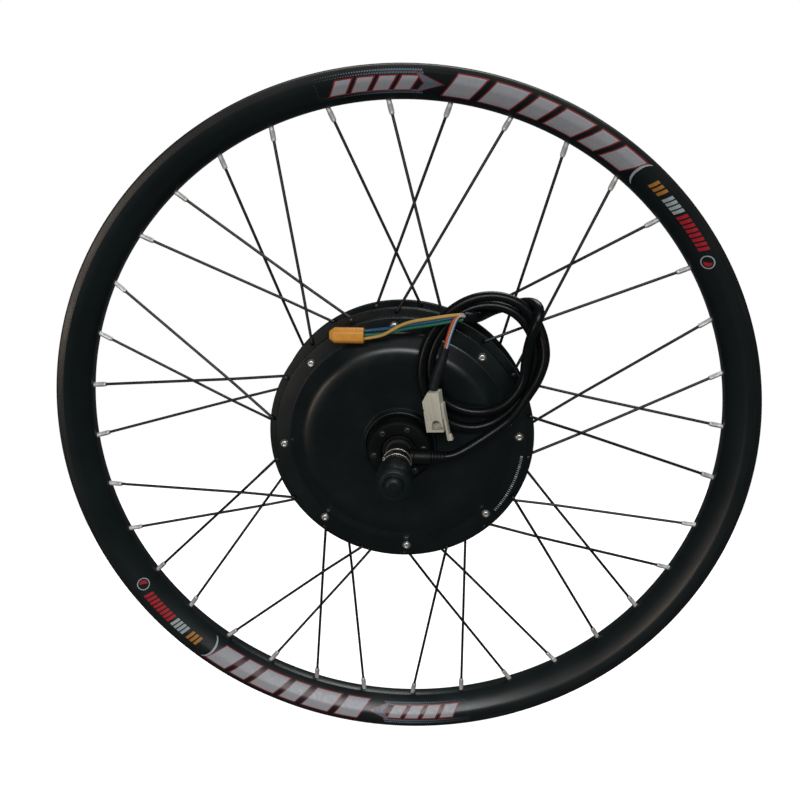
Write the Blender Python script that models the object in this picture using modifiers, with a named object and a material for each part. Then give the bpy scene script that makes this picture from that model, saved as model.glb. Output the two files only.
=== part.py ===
"""Hub motor wheel: a gearless electric hub laced into a 622 mm rim, with its coiled motor lead.

The wheel stands upright. Its spin axis is Y, the cable side faces -Y, and the origin is the wheel's centre.
Profiles are lists of (radius, y) in millimetres, and everything is built in metres.
"""

import math

import bmesh
import bpy
from mathutils import Matrix, Vector

MM = 0.001
GAP = 0.3            # clearance between neighbouring pieces

# ---- driving dimensions (mm, degrees) ----
RIM_RADIUS = 318.0          # outer edge of the tyre hooks, for a 622 mm bead seat
RIM_HALF_WIDTH = 20.5
RIM_BED_RADIUS = 290.8      # spoke bed, the innermost part of the rim
RIM_STEPS = 36
SPOKES_PER_SIDE = 18
SPOKE_RADIUS = 1.3
SPOKE_SPREAD = 20.0         # angle between a spoke's hub hole and its nipple
NIPPLE_RADIUS = 2.2
NIPPLE_FOOT_RADIUS = 280.5  # where the spoke leaves its nipple
NIPPLE_HEAD_RADIUS = 296.5
NEAR_HOLE_PHASE = 91.9      # angle of the first spoke hole in the near flange

FLANGE_RADIUS = 120.3
FLANGE_FACE = 18.2          # half the distance over the two spoke flanges
FLANGE_THICK = 5.0
SHELL_WEB_RADIUS = 112.5
SHELL_BORE = 101.3
SPOKE_HOLE_CIRCLE = 117.0
HUB_STEPS = 36

COVER_RADIUS = 113.8
COVER_FACE = 24.2
COVER_BOLT_CIRCLE = 106.3
COVER_BOLT_PHASE = 3.05
COVER_BOLTS = 8
DISC_FACE = 52.2            # brake-disc mounting face, measured from the wheel's centre
DISC_BOLT_CIRCLE = 22.0
DISC_BOLT_PHASE = 9.7
DISC_BOLTS = 6

STATOR_RADIUS = 97.2
STATOR_HALF_STACK = 14.0
STATOR_SLOTS = 36

AXLE_END = 108.0
AXLE_SHOULDER = 67.5        # 135 mm over the two dropout shoulders
AXLE_THREAD_RADIUS = 6.0
AXLE_FLAT = 5.0             # half the distance across the anti-turn flats
WASHER_RADIUS = 12.5
TAB_WASHER_Y = 73.5         # clear of the shoulder, where the frame's dropout goes
NUT_WASHER_Y = 84.4
NUT_Y = 91.2
CAP_END = 126.5

CABLE_RADIUS = 4.25
GLAND_Y = -60.8
GLAND_END = 41.0
COIL_CENTRE = (71.0, -44.0, 80.0)
COIL_OUTER = 58.0
COIL_INNER = 46.0
COIL_HALF_DEPTH = 8.0
HALL_PLUG_CENTRE = (31.8, -60.5, 42.2)
PHASE_PLUG_CENTRE = (0, -39.6, 101.2)

# ---- routes of the lead and its wires (mm), picked by hand ----
LEAD_ROUTE = [
    (41.9, -60.8, 0.0), (47.4, -60.8, 0.7), (54.0, -59.2, 4.2), (61.0, -57.4, 7.8),
    (68.0, -55.6, 12.1), (76.0, -54.1, 17.2),
]
TAIL_ROUTE = [
    (111.4, -57.0, 113.6), (114.2, -57.6, 121.4), (115.5, -54.2, 127.6), (114.2, -47.2, 131.2),
    (109.7, -38.6, 131.6), (102.6, -31.2, 129.6), (94.0, -30.8, 127.0), (85.2, -30.8, 124.9),
    (79.0, -31.2, 123.2), (73.8, -35.4, 121.3), (69.6, -42.6, 121.0), (65.8, -50.0, 121.0),
    (61.2, -56.8, 121.8), (54.1, -58.6, 122.8),
]
PHASE_ROUTE = [
    (52.8, -57.4, 122.4), (45.0, -56.8, 121.4), (34.0, -54.6, 120.6), (24.0, -52.0, 118.8),
    (13.0, -49.0, 115.0), (0.0, -45.6, 109.8), (-14.0, -42.2, 104.6), (-22.0, -40.6, 102.2),
    (-29.4, -39.6, 101.2),
]
HALL_ROUTE = [
    (53.2, -61.6, 125.2), (48.6, -62.4, 124.9), (46.0, -62.4, 120.4), (43.6, -61.9, 113.0),
    (41.6, -61.0, 104.8), (40.2, -60.2, 98.2),
]
HALL_SLEEVE_ROUTE = [
    (40.0, -59.8, 97.2), (37.4, -60.2, 87.0), (33.6, -60.4, 74.0), (30.6, -60.5, 63.2),
]


# ---- scene, collections and materials ----
for leftover in list(bpy.data.objects):
    bpy.data.objects.remove(leftover, do_unlink=True)

PARTS = bpy.data.collections.new("hub_motor_wheel")
CUTTERS = bpy.data.collections.new("cutters")
bpy.context.scene.collection.children.link(PARTS)
bpy.context.scene.collection.children.link(CUTTERS)


def make_material(name, colour, roughness, metallic=0.0):
    made = bpy.data.materials.new(name)
    made.use_nodes = True
    shader = made.node_tree.nodes["Principled BSDF"]
    shader.inputs["Base Color"].default_value = (*colour, 1.0)
    shader.inputs["Roughness"].default_value = roughness
    shader.inputs["Metallic"].default_value = metallic
    made.diffuse_color = (*colour, 1.0)
    return made


BLACK_ANODISED = make_material("rim_black_anodised", (0.012, 0.016, 0.017), 0.32, 0.6)
BLACK_PAINT = make_material("hub_black_paint", (0.013, 0.017, 0.018), 0.45)
SPOKE_STEEL = make_material("spoke_black_steel", (0.02, 0.02, 0.02), 0.4, 0.7)
ZINC_STEEL = make_material("zinc_steel", (0.62, 0.62, 0.60), 0.35, 1.0)
AXLE_STEEL = make_material("axle_steel", (0.30, 0.30, 0.30), 0.35, 1.0)
BEARING_STEEL = make_material("bearing_steel", (0.70, 0.70, 0.72), 0.15, 1.0)
LAMINATION = make_material("lamination_steel", (0.35, 0.36, 0.38), 0.5, 1.0)
COPPER = make_material("enamelled_copper", (0.60, 0.22, 0.08), 0.35, 1.0)
MAGNET = make_material("nickel_magnet", (0.55, 0.55, 0.56), 0.3, 1.0)
CARRIER_ALLOY = make_material("carrier_alloy", (0.60, 0.61, 0.62), 0.5, 1.0)
BOARD_GREEN = make_material("board_green", (0.02, 0.16, 0.06), 0.5)
RUBBER = make_material("black_rubber", (0.012, 0.014, 0.014), 0.6)
CABLE_JACKET = make_material("cable_jacket", (0.010, 0.012, 0.012), 0.5)
WIRE_YELLOW = make_material("wire_yellow", (0.55, 0.28, 0.06), 0.45)
WIRE_RED = make_material("wire_red", (0.45, 0.04, 0.03), 0.45)
CONNECTOR_ORANGE = make_material("connector_orange", (0.74, 0.35, 0.05), 0.5)
CONNECTOR_IVORY = make_material("connector_ivory", (0.52, 0.50, 0.42), 0.5)


# ---- modelling helpers ----
def add_object(name, data, material=None, collection=PARTS):
    made = bpy.data.objects.new(name, data)
    collection.objects.link(made)
    if material is not None:
        data.materials.append(material)
    if collection is CUTTERS:
        made.hide_render = True
        made.display_type = "WIRE"
    return made


def polar(radius, degrees, y=0.0):
    """A point at a radius and angle round the spin axis, in mm."""
    angle = math.radians(degrees)
    return Vector((radius * math.cos(angle), y, radius * math.sin(angle)))


def loop_area(profile):
    """Signed area of a closed (radius, y) loop, positive when it runs anticlockwise."""
    ahead = profile[1:] + profile[:1]
    return 0.5 * sum(a[0] * b[1] - b[0] * a[1] for a, b in zip(profile, ahead))


def turned(name, profile, steps, material, holes=(), along="Y", centre=(0, 0, 0), collection=PARTS):
    """A turned solid: a (radius, y) profile swept round the Y axis, or round X with along="X".

    A profile that starts on the axis is open and closes itself there. Any other profile is a closed loop.
    Further closed loops in `holes` are hollows inside the section.
    """
    mesh = bpy.data.meshes.new(name)
    built = bmesh.new()
    on_axis = profile[0][0] == 0
    loops = [(profile, False)] + [(hollow, True) for hollow in holes]
    for points, hollow in loops:
        runs_down = loop_area(points) < 0
        if runs_down == hollow:
            points = points[::-1]
        verts = [built.verts.new((radius * MM, 0.0, y * MM)) for radius, y in points]
        last = len(verts) - 1 if on_axis else len(verts)
        for i in range(last):
            built.edges.new((verts[i], verts[(i + 1) % len(verts)]))
    built.to_mesh(mesh)
    built.free()
    made = add_object(name, mesh, material, collection)
    screw = made.modifiers.new("turn", "SCREW")
    screw.steps = steps
    screw.render_steps = steps
    screw.use_merge_vertices = True
    screw.merge_threshold = 0.00001
    screw.use_smooth_shade = True
    made.rotation_euler = (-math.pi / 2, 0, 0) if along == "Y" else (0, math.pi / 2, 0)
    made.location = Vector(centre) * MM
    return made


def mirrored(profile):
    """The same profile on the far side of the wheel."""
    return [(radius, -y) for radius, y in profile]


def cylinders(name, ends, radius, sides):
    """Separate closed cylinders in one cutter object, each between two points in mm."""
    mesh = bpy.data.meshes.new(name)
    built = bmesh.new()
    for start, end in ends:
        start, end = Vector(start), Vector(end)
        turn = (end - start).to_track_quat("Z", "Y").to_matrix().to_4x4()
        place = Matrix.Translation((start + end) / 2 * MM) @ turn
        bmesh.ops.create_cone(built, cap_ends=True, segments=sides, radius1=radius * MM,
                              radius2=radius * MM, depth=(end - start).length * MM, matrix=place)
    built.to_mesh(mesh)
    built.free()
    return add_object(name, mesh, collection=CUTTERS)


def boxes(name, places, size):
    """Separate closed boxes in one cutter object; each place is a 4x4 matrix in metres."""
    mesh = bpy.data.meshes.new(name)
    built = bmesh.new()
    for place in places:
        scale = Matrix.Diagonal((size[0] * MM, size[1] * MM, size[2] * MM, 1.0))
        bmesh.ops.create_cube(built, size=1.0, matrix=place @ scale)
    built.to_mesh(mesh)
    built.free()
    return add_object(name, mesh, collection=CUTTERS)


def combine(target, other, operation="DIFFERENCE"):
    step = target.modifiers.new(operation.lower() + "_" + other.name, "BOOLEAN")
    step.operation = operation
    step.solver = "EXACT"
    step.object = other


def smooth_curve(points, spacing):
    """Points about `spacing` apart on the Catmull-Rom curve through hand-picked points."""
    knots = [Vector(p) for p in points]
    knots = [2 * knots[0] - knots[1]] + knots + [2 * knots[-1] - knots[-2]]
    found = []
    for a, b, c, d in zip(knots, knots[1:], knots[2:], knots[3:]):
        count = max(1, round((c - b).length / spacing))
        for i in range(count):
            t = i / count
            found.append(0.5 * ((2 * b) + (c - a) * t + (2 * a - 5 * b + 4 * c - d) * t * t
                                + (3 * b - a - 3 * c + d) * t ** 3))
    return found + [knots[-2]]


def tube(name, points, radius, material, resolution=2, radii=None, collection=PARTS):
    """A round bar along points in mm, with a radius of its own at each point if `radii` is given."""
    curve = bpy.data.curves.new(name, "CURVE")
    curve.dimensions = "3D"
    curve.bevel_depth = radius * MM
    curve.bevel_resolution = resolution
    curve.use_fill_caps = True
    spline = curve.splines.new("POLY")
    spline.points.add(len(points) - 1)
    for i, point in enumerate(points):
        spline.points[i].co = (*(Vector(point) * MM), 1.0)
        spline.points[i].radius = radii[i] / radius if radii else 1.0
    return add_object(name, curve, material, collection)


def plate(name, outlines, thickness, centre_y, material):
    """A flat plate square to the spin axis, from closed outlines of (x, z) points in mm."""
    curve = bpy.data.curves.new(name, "CURVE")
    curve.dimensions = "2D"
    curve.fill_mode = "BOTH"
    curve.extrude = thickness / 2 * MM
    for outline in outlines:
        spline = curve.splines.new("POLY")
        spline.use_cyclic_u = True
        spline.points.add(len(outline) - 1)
        for i, (x, z) in enumerate(outline):
            spline.points[i].co = (x * MM, -z * MM, 0.0, 1.0)
    made = add_object(name, curve, material)
    made.rotation_euler = (-math.pi / 2, 0, 0)
    made.location = (0, centre_y * MM, 0)
    return made


def circle(radius, sides, phase=0.0):
    turns = [math.radians(phase) + 2 * math.pi * i / sides for i in range(sides)]
    return [(radius * math.cos(a), radius * math.sin(a)) for a in turns]


def curve_to_mesh(curve_object, collection):
    """Replace a curve object by a welded mesh object of the same name."""
    name = curve_object.name
    bpy.context.view_layer.update()
    evaluated = curve_object.evaluated_get(bpy.context.evaluated_depsgraph_get())
    mesh = bpy.data.meshes.new_from_object(evaluated)
    welded = bmesh.new()
    welded.from_mesh(mesh)
    bmesh.ops.remove_doubles(welded, verts=welded.verts, dist=0.000001)
    welded.to_mesh(mesh)
    welded.free()
    world = curve_object.matrix_world.copy()
    bpy.data.objects.remove(curve_object, do_unlink=True)
    made = bpy.data.objects.new(name, mesh)
    collection.objects.link(made)
    made.matrix_world = world
    if collection is CUTTERS:
        made.hide_render = True
        made.display_type = "WIRE"
    return made


# ---- rim ----
def make_rim():
    half = RIM_HALF_WIDTH
    flank = [
        (RIM_RADIUS, half - 3.3), (RIM_RADIUS, half - 1.0), (RIM_RADIUS - 1.0, half),
        (310.5, half), (304.5, half - 2.3), (296.5, half - 9.0), (RIM_BED_RADIUS + 0.7, 4.8),
    ]
    channel = [(312.0, half - 3.6), (307.0, half - 4.1), (304.0, 8.0)]
    chamber = [(302.2, 7.4), (304.4, 15.0), (RIM_BED_RADIUS + 2.4, 3.8)]
    outer = flank + mirrored(flank)[::-1] + mirrored(channel) + channel[::-1]
    rim = turned("rim", outer, RIM_STEPS, BLACK_ANODISED, holes=[chamber + mirrored(chamber)[::-1]])
    spokes = 2 * SPOKES_PER_SIDE
    angles = [NEAR_HOLE_PHASE + i * 360 / spokes for i in range(spokes)]
    drills = [(polar(RIM_BED_RADIUS - 3, a), polar(299.5, a)) for a in angles]
    combine(rim, cylinders("rim_nipple_holes", drills, NIPPLE_RADIUS + 0.6, 6))


# ---- spokes: on each side, neighbours cross once and touch there ----
def spoke_points(side, hole_angle, turn, head_outside):
    """Points and radii from the nipple to the head; side is -1 near the cable, +1 on the far side."""
    hub = SPOKE_HOLE_CIRCLE
    outer_elbow, inner_elbow = FLANGE_FACE + 2.3, FLANGE_FACE - FLANGE_THICK - 2.3
    elbow = inner_elbow if head_outside else outer_elbow
    head_seat = FLANGE_FACE + GAP if head_outside else FLANGE_FACE - FLANGE_THICK - GAP
    head_end = head_seat + (1.5 if head_outside else -1.5)
    nipple_angle = hole_angle + turn * SPOKE_SPREAD
    foot, start = polar(NIPPLE_FOOT_RADIUS, SPOKE_SPREAD), polar(hub, 0)
    slope = math.tan(math.radians(SPOKE_SPREAD / 2))
    share = slope * start.x / (foot.z - slope * (foot.x - start.x))
    crossing = (start + (foot - start) * share).length
    cross_y = (outer_elbow + inner_elbow) / 2 * (1 - share) + (-1.0 if head_outside else 1.0)
    bend = hole_angle + turn * SPOKE_SPREAD / 2
    points = [
        polar(NIPPLE_HEAD_RADIUS, nipple_angle), polar(NIPPLE_FOOT_RADIUS, nipple_angle),
        polar(NIPPLE_FOOT_RADIUS - 0.5, nipple_angle), polar(crossing, bend, side * cross_y),
        polar(hub, hole_angle, side * elbow), polar(hub, hole_angle, side * head_seat),
        polar(hub, hole_angle, side * head_end),
    ]
    wire, nipple, head = SPOKE_RADIUS, NIPPLE_RADIUS, 2.2
    return points, [nipple, nipple, wire, wire, wire, wire, head]


def make_spoke(name, side, hole_angle, turn, head_outside, collection):
    points, radii = spoke_points(side, hole_angle, turn, head_outside)
    bar = tube(name, points, SPOKE_RADIUS, None, resolution=1, radii=radii)
    made = curve_to_mesh(bar, collection)
    made.data.materials.append(SPOKE_STEEL)
    return made


def make_spokes():
    step = 360 / SPOKES_PER_SIDE
    for side, label, phase in ((-1, "near", 0.0), (1, "far", step / 2)):
        for pair in range(SPOKES_PER_SIDE // 2):
            first = NEAR_HOLE_PHASE + phase + (2 * pair + 1) * step
            name = f"spoke_pair_{label}_{pair + 1}"
            leading = make_spoke(name, side, first, 1, True, PARTS)
            trailing = make_spoke(name + "_second", side, first + step, -1, False, CUTTERS)
            combine(leading, trailing, "UNION")


# ---- hub shell, covers and what bolts them ----
def bolt_angles():
    return [COVER_BOLT_PHASE + i * 360 / COVER_BOLTS for i in range(COVER_BOLTS)]


def make_hub_shell():
    face, inner = FLANGE_FACE, FLANGE_FACE - FLANGE_THICK
    half = [(SHELL_BORE, face), (FLANGE_RADIUS, face), (FLANGE_RADIUS, inner), (SHELL_WEB_RADIUS, inner)]
    shell = turned("hub_shell", half + mirrored(half)[::-1], HUB_STEPS, BLACK_PAINT)
    step = 360 / SPOKES_PER_SIDE
    drills = []
    for side, phase in ((-1, 0.0), (1, step / 2)):
        for i in range(SPOKES_PER_SIDE):
            angle = NEAR_HOLE_PHASE + phase + i * step
            drills.append((polar(SPOKE_HOLE_CIRCLE, angle, side * (face + 1)),
                           polar(SPOKE_HOLE_CIRCLE, angle, side * (inner - 1))))
    combine(shell, cylinders("shell_spoke_holes", drills, SPOKE_RADIUS + 0.6, 6))
    taps = [(polar(COVER_BOLT_CIRCLE, a, -face - 1), polar(COVER_BOLT_CIRCLE, a, -face + 9.5))
            for a in bolt_angles()]
    combine(shell, cylinders("shell_bolt_holes", taps, 2.9, 6))


def make_covers():
    dome = [
        (COVER_RADIUS, 18.5), (COVER_RADIUS, COVER_FACE), (100.2, COVER_FACE), (96.5, 27.6),
        (92.0, 30.6), (86.0, 32.2), (80.0, 32.5),
    ]
    inside = [(84.0, 26.6), (97.8, 21.2), (98.5, 18.5)]
    boss = [
        (36.0, 30.6), (32.6, 31.2), (31.6, 33.2), (29.6, 33.2), (28.8, 31.4), (28.8, DISC_FACE),
        (14.9, DISC_FACE), (14.9, 38.4), (23.8, 38.4), (23.8, 25.4), (34.0, 25.4), (40.0, 26.6),
    ]
    near = turned("near_cover", mirrored(dome + boss + inside), HUB_STEPS, BLACK_PAINT)
    drills = [(polar(COVER_BOLT_CIRCLE, a, -17), polar(COVER_BOLT_CIRCLE, a, -26)) for a in bolt_angles()]
    combine(near, cylinders("near_cover_bolt_holes", drills, 2.9, 6))
    screws = [DISC_BOLT_PHASE + i * 360 / DISC_BOLTS for i in range(DISC_BOLTS)]
    heads = [(polar(DISC_BOLT_CIRCLE, a, -DISC_FACE + 0.6), polar(DISC_BOLT_CIRCLE, a, -DISC_FACE - 2.2))
             for a in screws]
    combine(near, cylinders("disc_screw_heads", heads, 4.0, 6), "UNION")

    thread = [
        (30.0, 30.6), (27.0, 32.6), (26.2, 38.0), (17.4, 38.0), (17.4, 50.0), (11.2, 50.0),
        (11.2, 34.8), (21.3, 34.8), (21.3, 22.2), (34.0, 22.2), (40.0, 26.6),
    ]
    far = turned("far_cover", dome + thread + inside, HUB_STEPS, BLACK_PAINT)
    heads = [(polar(COVER_BOLT_CIRCLE, a, COVER_FACE - 0.6), polar(COVER_BOLT_CIRCLE, a, COVER_FACE + 2.7))
             for a in bolt_angles()]
    combine(far, cylinders("far_cover_screw_heads", heads, 4.2, 6), "UNION")


def make_cover_bolts():
    head_seat = -COVER_FACE - GAP
    profile = [(0, head_seat - 2.4), (4.2, head_seat - 2.4), (4.2, head_seat), (2.4, head_seat),
               (2.4, head_seat + 14.0), (0, head_seat + 14.0)]
    for i, angle in enumerate(bolt_angles()):
        turned(f"cover_bolt_{i + 1}", profile, 8, ZINC_STEEL, centre=polar(COVER_BOLT_CIRCLE, angle))


def make_magnet_ring():
    half = STATOR_HALF_STACK + 0.5
    ring = [(98.0, half), (SHELL_BORE - GAP, half), (SHELL_BORE - GAP, -half), (98.0, -half)]
    turned("magnet_ring", ring, 36, MAGNET)


# ---- stator ----
def make_stator():
    half = STATOR_HALF_STACK
    web = [(14.3, 16.0), (24.0, 16.0), (24.0, 4.0), (69.0, 4.0), (69.0, half - 1), (78.0, half - 1)]
    carrier = turned("stator_carrier", web + mirrored(web)[::-1], 24, CARRIER_ALLOY)
    windows = [(polar(46.0, i * 60, -6), polar(46.0, i * 60, 6)) for i in range(6)]
    combine(carrier, cylinders("carrier_windows", windows, 14.0, 10))

    pitch = 360 / STATOR_SLOTS
    slot = 2.3
    teeth = []
    for i in range(STATOR_SLOTS):
        for radius, angle in ((STATOR_RADIUS, -slot), (83.5, -slot), (83.5, slot), (STATOR_RADIUS, slot)):
            point = polar(radius, i * pitch + angle)
            teeth.append((point.x, point.z))
    plate("stator_core", [teeth, circle(78.3, STATOR_SLOTS, pitch / 2)], 2 * half, 0.0, LAMINATION)

    end_turn = [(84.0, half + GAP), (95.0, half + GAP), (94.0, 20.0), (86.0, 20.0)]
    windings = turned("windings", mirrored(end_turn), STATOR_SLOTS, COPPER)
    far_turn = turned("windings_far_turn", end_turn, STATOR_SLOTS, COPPER, collection=CUTTERS)
    bars = [Matrix.Rotation(-math.radians(i * pitch), 4, "Y") @ Matrix.Translation((0.0905, 0, 0))
            for i in range(STATOR_SLOTS)]
    combine(windings, boxes("winding_bars", bars, (8.0, 2 * half + 2.6, 5.4)), "UNION")
    combine(windings, far_turn, "UNION")

    arc = [polar(77.6, a) for a in range(60, 125, 8)] + [polar(66.0, a) for a in range(124, 59, -8)]
    plate("hall_board", [[(p.x, p.z) for p in arc]], 1.6, -(half - 1 + GAP + 0.8), BOARD_GREEN)


# ---- bearings and seals ----
def make_bearing(label, inner, outer, low, high, ball_radius, balls):
    wall = 2.1
    turned(f"{label}_bearing_inner", [(inner, high), (inner + wall, high), (inner + wall, low), (inner, low)],
           20, BEARING_STEEL)
    turned(f"{label}_bearing_outer", [(outer - wall, high), (outer, high), (outer, low), (outer - wall, low)],
           20, BEARING_STEEL)
    middle, pitch = (low + high) / 2, (inner + outer) / 2
    cage = [(pitch - 0.9, middle + 1.2), (pitch + 0.9, middle + 1.2),
            (pitch + 0.9, middle - 1.2), (pitch - 0.9, middle - 1.2)]
    ring = turned(f"{label}_bearing_balls", cage, 16, BEARING_STEEL)
    mesh = bpy.data.meshes.new(f"{label}_balls")
    built = bmesh.new()
    for i in range(balls):
        place = Matrix.Translation(polar(pitch, i * 360 / balls, middle) * MM)
        bmesh.ops.create_uvsphere(built, u_segments=6, v_segments=4, radius=ball_radius * MM, matrix=place)
    built.to_mesh(mesh)
    built.free()
    combine(ring, add_object(f"{label}_balls", mesh, collection=CUTTERS), "UNION")


def make_near_seal():
    seal = [(12.7, -46.5), (14.6, -46.5), (14.6, -49.8), (12.7, -49.8)]
    turned("near_seal", seal, 20, RUBBER)


# ---- axle and its hardware ----
def make_axle():
    thread, end = AXLE_THREAD_RADIUS, AXLE_END
    profile = [
        (0, end), (thread - 0.8, end), (thread, end - 1), (thread, AXLE_SHOULDER), (8.6, AXLE_SHOULDER),
        (8.6, 50.0), (9.7, 49.0), (9.7, 20.5), (14.0, 20.5), (14.0, -23.5), (12.2, -23.5),
        (12.2, -52.0), (10.0, -53.0), (10.0, -AXLE_SHOULDER), (thread, -AXLE_SHOULDER),
        (thread, -end + 1), (thread - 0.8, -end), (0, -end),
    ]
    axle = turned("axle", profile, 20, AXLE_STEEL)
    length = AXLE_END - AXLE_SHOULDER + 4
    middle = AXLE_SHOULDER + length / 2
    places = [Matrix.Translation(Vector((0, side * middle, flat * (AXLE_FLAT + 2))) * MM)
              for side in (-1, 1) for flat in (-1, 1)]
    combine(axle, boxes("axle_flats", places, (16.0, length, 4.0)))
    combine(axle, cylinders("axle_cable_port", [((3.0, GLAND_Y, 0), (14.0, GLAND_Y, 0))], 4.9, 12))


def make_axle_hardware(label, side):
    hole = circle(AXLE_THREAD_RADIUS + GAP, 16)
    rim_of_washer = [(x, z) for x, z in circle(WASHER_RADIUS, 20) if z > -WASHER_RADIUS + 1.5]
    tongue = [(-3.5, -11.9), (-3.5, -16.0), (3.5, -16.0), (3.5, -11.9)]
    split = max(i for i, (x, z) in enumerate(rim_of_washer) if x < 0) + 1
    tabbed = rim_of_washer[:split] + tongue + rim_of_washer[split:]
    plate(f"{label}_tab_washer", [tabbed, hole], 2.4, side * TAB_WASHER_Y, ZINC_STEEL)
    plate(f"{label}_nut_washer", [circle(WASHER_RADIUS, 20), hole], 2.3, side * NUT_WASHER_Y, ZINC_STEEL)
    plate(f"{label}_axle_nut", [circle(10.9, 6), hole], 10.5, side * NUT_Y, ZINC_STEEL)
    cap = [
        (0, CAP_END), (5.0, CAP_END - 0.4), (7.4, CAP_END - 1.8), (8.2, CAP_END - 3.1),
        (11.6, CAP_END - 3.9), (14.4, CAP_END - 6.2), (15.2, CAP_END - 10.4), (14.9, 100.0),
        (13.6, 86.8), (11.3, 86.8), (11.3, 97.4),
        (6.5, 97.4), (6.5, AXLE_END + 1), (0, AXLE_END + 1),
    ]
    turned(f"{label}_nut_cap", cap if side > 0 else mirrored(cap), 20, RUBBER)


# ---- motor lead, wires and connectors ----
def make_lead():
    gland = [
        (0, 5.0), (4.4, 5.0), (4.4, 10.7), (6.0, 10.7), (6.0, 30.0), (5.2, 33.0),
        (5.0, GLAND_END), (0, GLAND_END),
    ]
    turned("cable_gland", gland, 16, RUBBER, along="X", centre=(0, GLAND_Y, 0))
    spacing = 2.2 * CABLE_RADIUS
    tube("cable_lead", smooth_curve(LEAD_ROUTE, spacing), CABLE_RADIUS, CABLE_JACKET)
    depth, soft = COIL_HALF_DEPTH, 3.0
    ring = [
        (COIL_OUTER, depth - soft), (COIL_OUTER, soft - depth), (COIL_OUTER - soft, -depth),
        (COIL_INNER + soft, -depth), (COIL_INNER, soft - depth), (COIL_INNER, depth - soft),
        (COIL_INNER + soft, depth), (COIL_OUTER - soft, depth),
    ]
    turned("cable_coil", ring, 32, CABLE_JACKET, centre=COIL_CENTRE)
    tube("cable_tail", smooth_curve(TAIL_ROUTE, spacing), CABLE_RADIUS, CABLE_JACKET)
    tube("phase_wires", smooth_curve(PHASE_ROUTE, 7.0), 2.5, WIRE_YELLOW)
    tube("hall_wires", smooth_curve(HALL_ROUTE, 5.0), 1.8, WIRE_RED)
    tube("hall_sleeve", smooth_curve(HALL_SLEEVE_ROUTE, 8.0), 4.3, RUBBER)


def make_phase_connector():
    """A bullet-plug housing lying along X, with rounded long edges and a rounded far end."""
    housing = [
        (0, -59.8), (4.2, -59.8), (6.2, -58.0), (6.8, -55.0), (6.8, -31.4), (6.2, -30.2), (0, -30.2),
    ]
    made = turned("phase_connector", housing, 12, CONNECTOR_ORANGE, along="X",
                  centre=PHASE_PLUG_CENTRE)
    made.scale = (1.0, 0.9, 1.0)


def make_hall_connector():
    """A latched housing, open at its lower end, with the latch arm down its right side."""
    place = Matrix.Translation(Vector(HALL_PLUG_CENTRE) * MM) @ Matrix.Rotation(math.radians(-6), 4, "Y")
    housing = boxes("hall_housing_block", [place], (17.0, 12.0, 38.0))
    mesh = housing.data.copy()
    bpy.data.objects.remove(housing, do_unlink=True)
    made = add_object("hall_connector", mesh, CONNECTOR_IVORY)
    socket = place @ Matrix.Translation(Vector((0, 0, -10.0)) * MM)
    combine(made, boxes("hall_socket", [socket], (13.0, 8.0, 26.0)))
    bridge = place @ Matrix.Translation(Vector((9.4, 0, 8.0)) * MM)
    combine(made, boxes("hall_latch_bridge", [bridge], (4.0, 4.2, 5.0)), "UNION")
    arm = place @ Matrix.Translation(Vector((11.4, 0, -7.0)) * MM)
    combine(made, boxes("hall_latch_arm", [arm], (2.0, 5.0, 36.0)), "UNION")
    hook = place @ Matrix.Translation(Vector((12.6, 0, -23.0)) * MM)
    combine(made, boxes("hall_latch_hook", [hook], (3.0, 4.6, 3.6)), "UNION")


make_rim()
make_spokes()
make_hub_shell()
make_covers()
make_cover_bolts()
make_magnet_ring()
make_stator()
make_bearing("near", 12.5, 23.5, -38.1, -26.1, 3.1, 8)
make_bearing("far", 10.0, 21.0, 22.5, 34.5, 3.1, 8)
make_near_seal()
make_axle()
make_axle_hardware("near", -1)
make_axle_hardware("far", 1)
make_lead()
make_phase_connector()
make_hall_connector()
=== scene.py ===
"""Looks of the hub motor wheel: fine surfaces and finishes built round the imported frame.

Axes are the frame's: the wheel spins about Y, the cable side faces -Y, Z is up, and the origin is the
wheel's centre. Profiles are corners (radius, y, corner radius) in millimetres, turned round the Y axis.
The near half has negative y.
"""
import math
import random

import bmesh
import bpy
from mathutils import Matrix, Vector


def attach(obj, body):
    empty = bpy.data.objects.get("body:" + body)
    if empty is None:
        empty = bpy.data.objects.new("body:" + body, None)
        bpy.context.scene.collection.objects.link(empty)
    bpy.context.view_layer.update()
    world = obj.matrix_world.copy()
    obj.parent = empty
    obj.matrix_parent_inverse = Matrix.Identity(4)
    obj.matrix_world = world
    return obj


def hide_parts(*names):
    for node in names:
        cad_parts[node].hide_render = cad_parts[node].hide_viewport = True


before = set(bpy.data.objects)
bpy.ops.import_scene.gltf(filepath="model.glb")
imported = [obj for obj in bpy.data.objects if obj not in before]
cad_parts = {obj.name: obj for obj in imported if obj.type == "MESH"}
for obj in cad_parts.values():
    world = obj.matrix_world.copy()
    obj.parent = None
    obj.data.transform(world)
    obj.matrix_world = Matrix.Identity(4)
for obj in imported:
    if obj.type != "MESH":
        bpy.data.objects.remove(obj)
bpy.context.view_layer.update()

MM = 0.001
DICE = random.Random(7)

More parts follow.
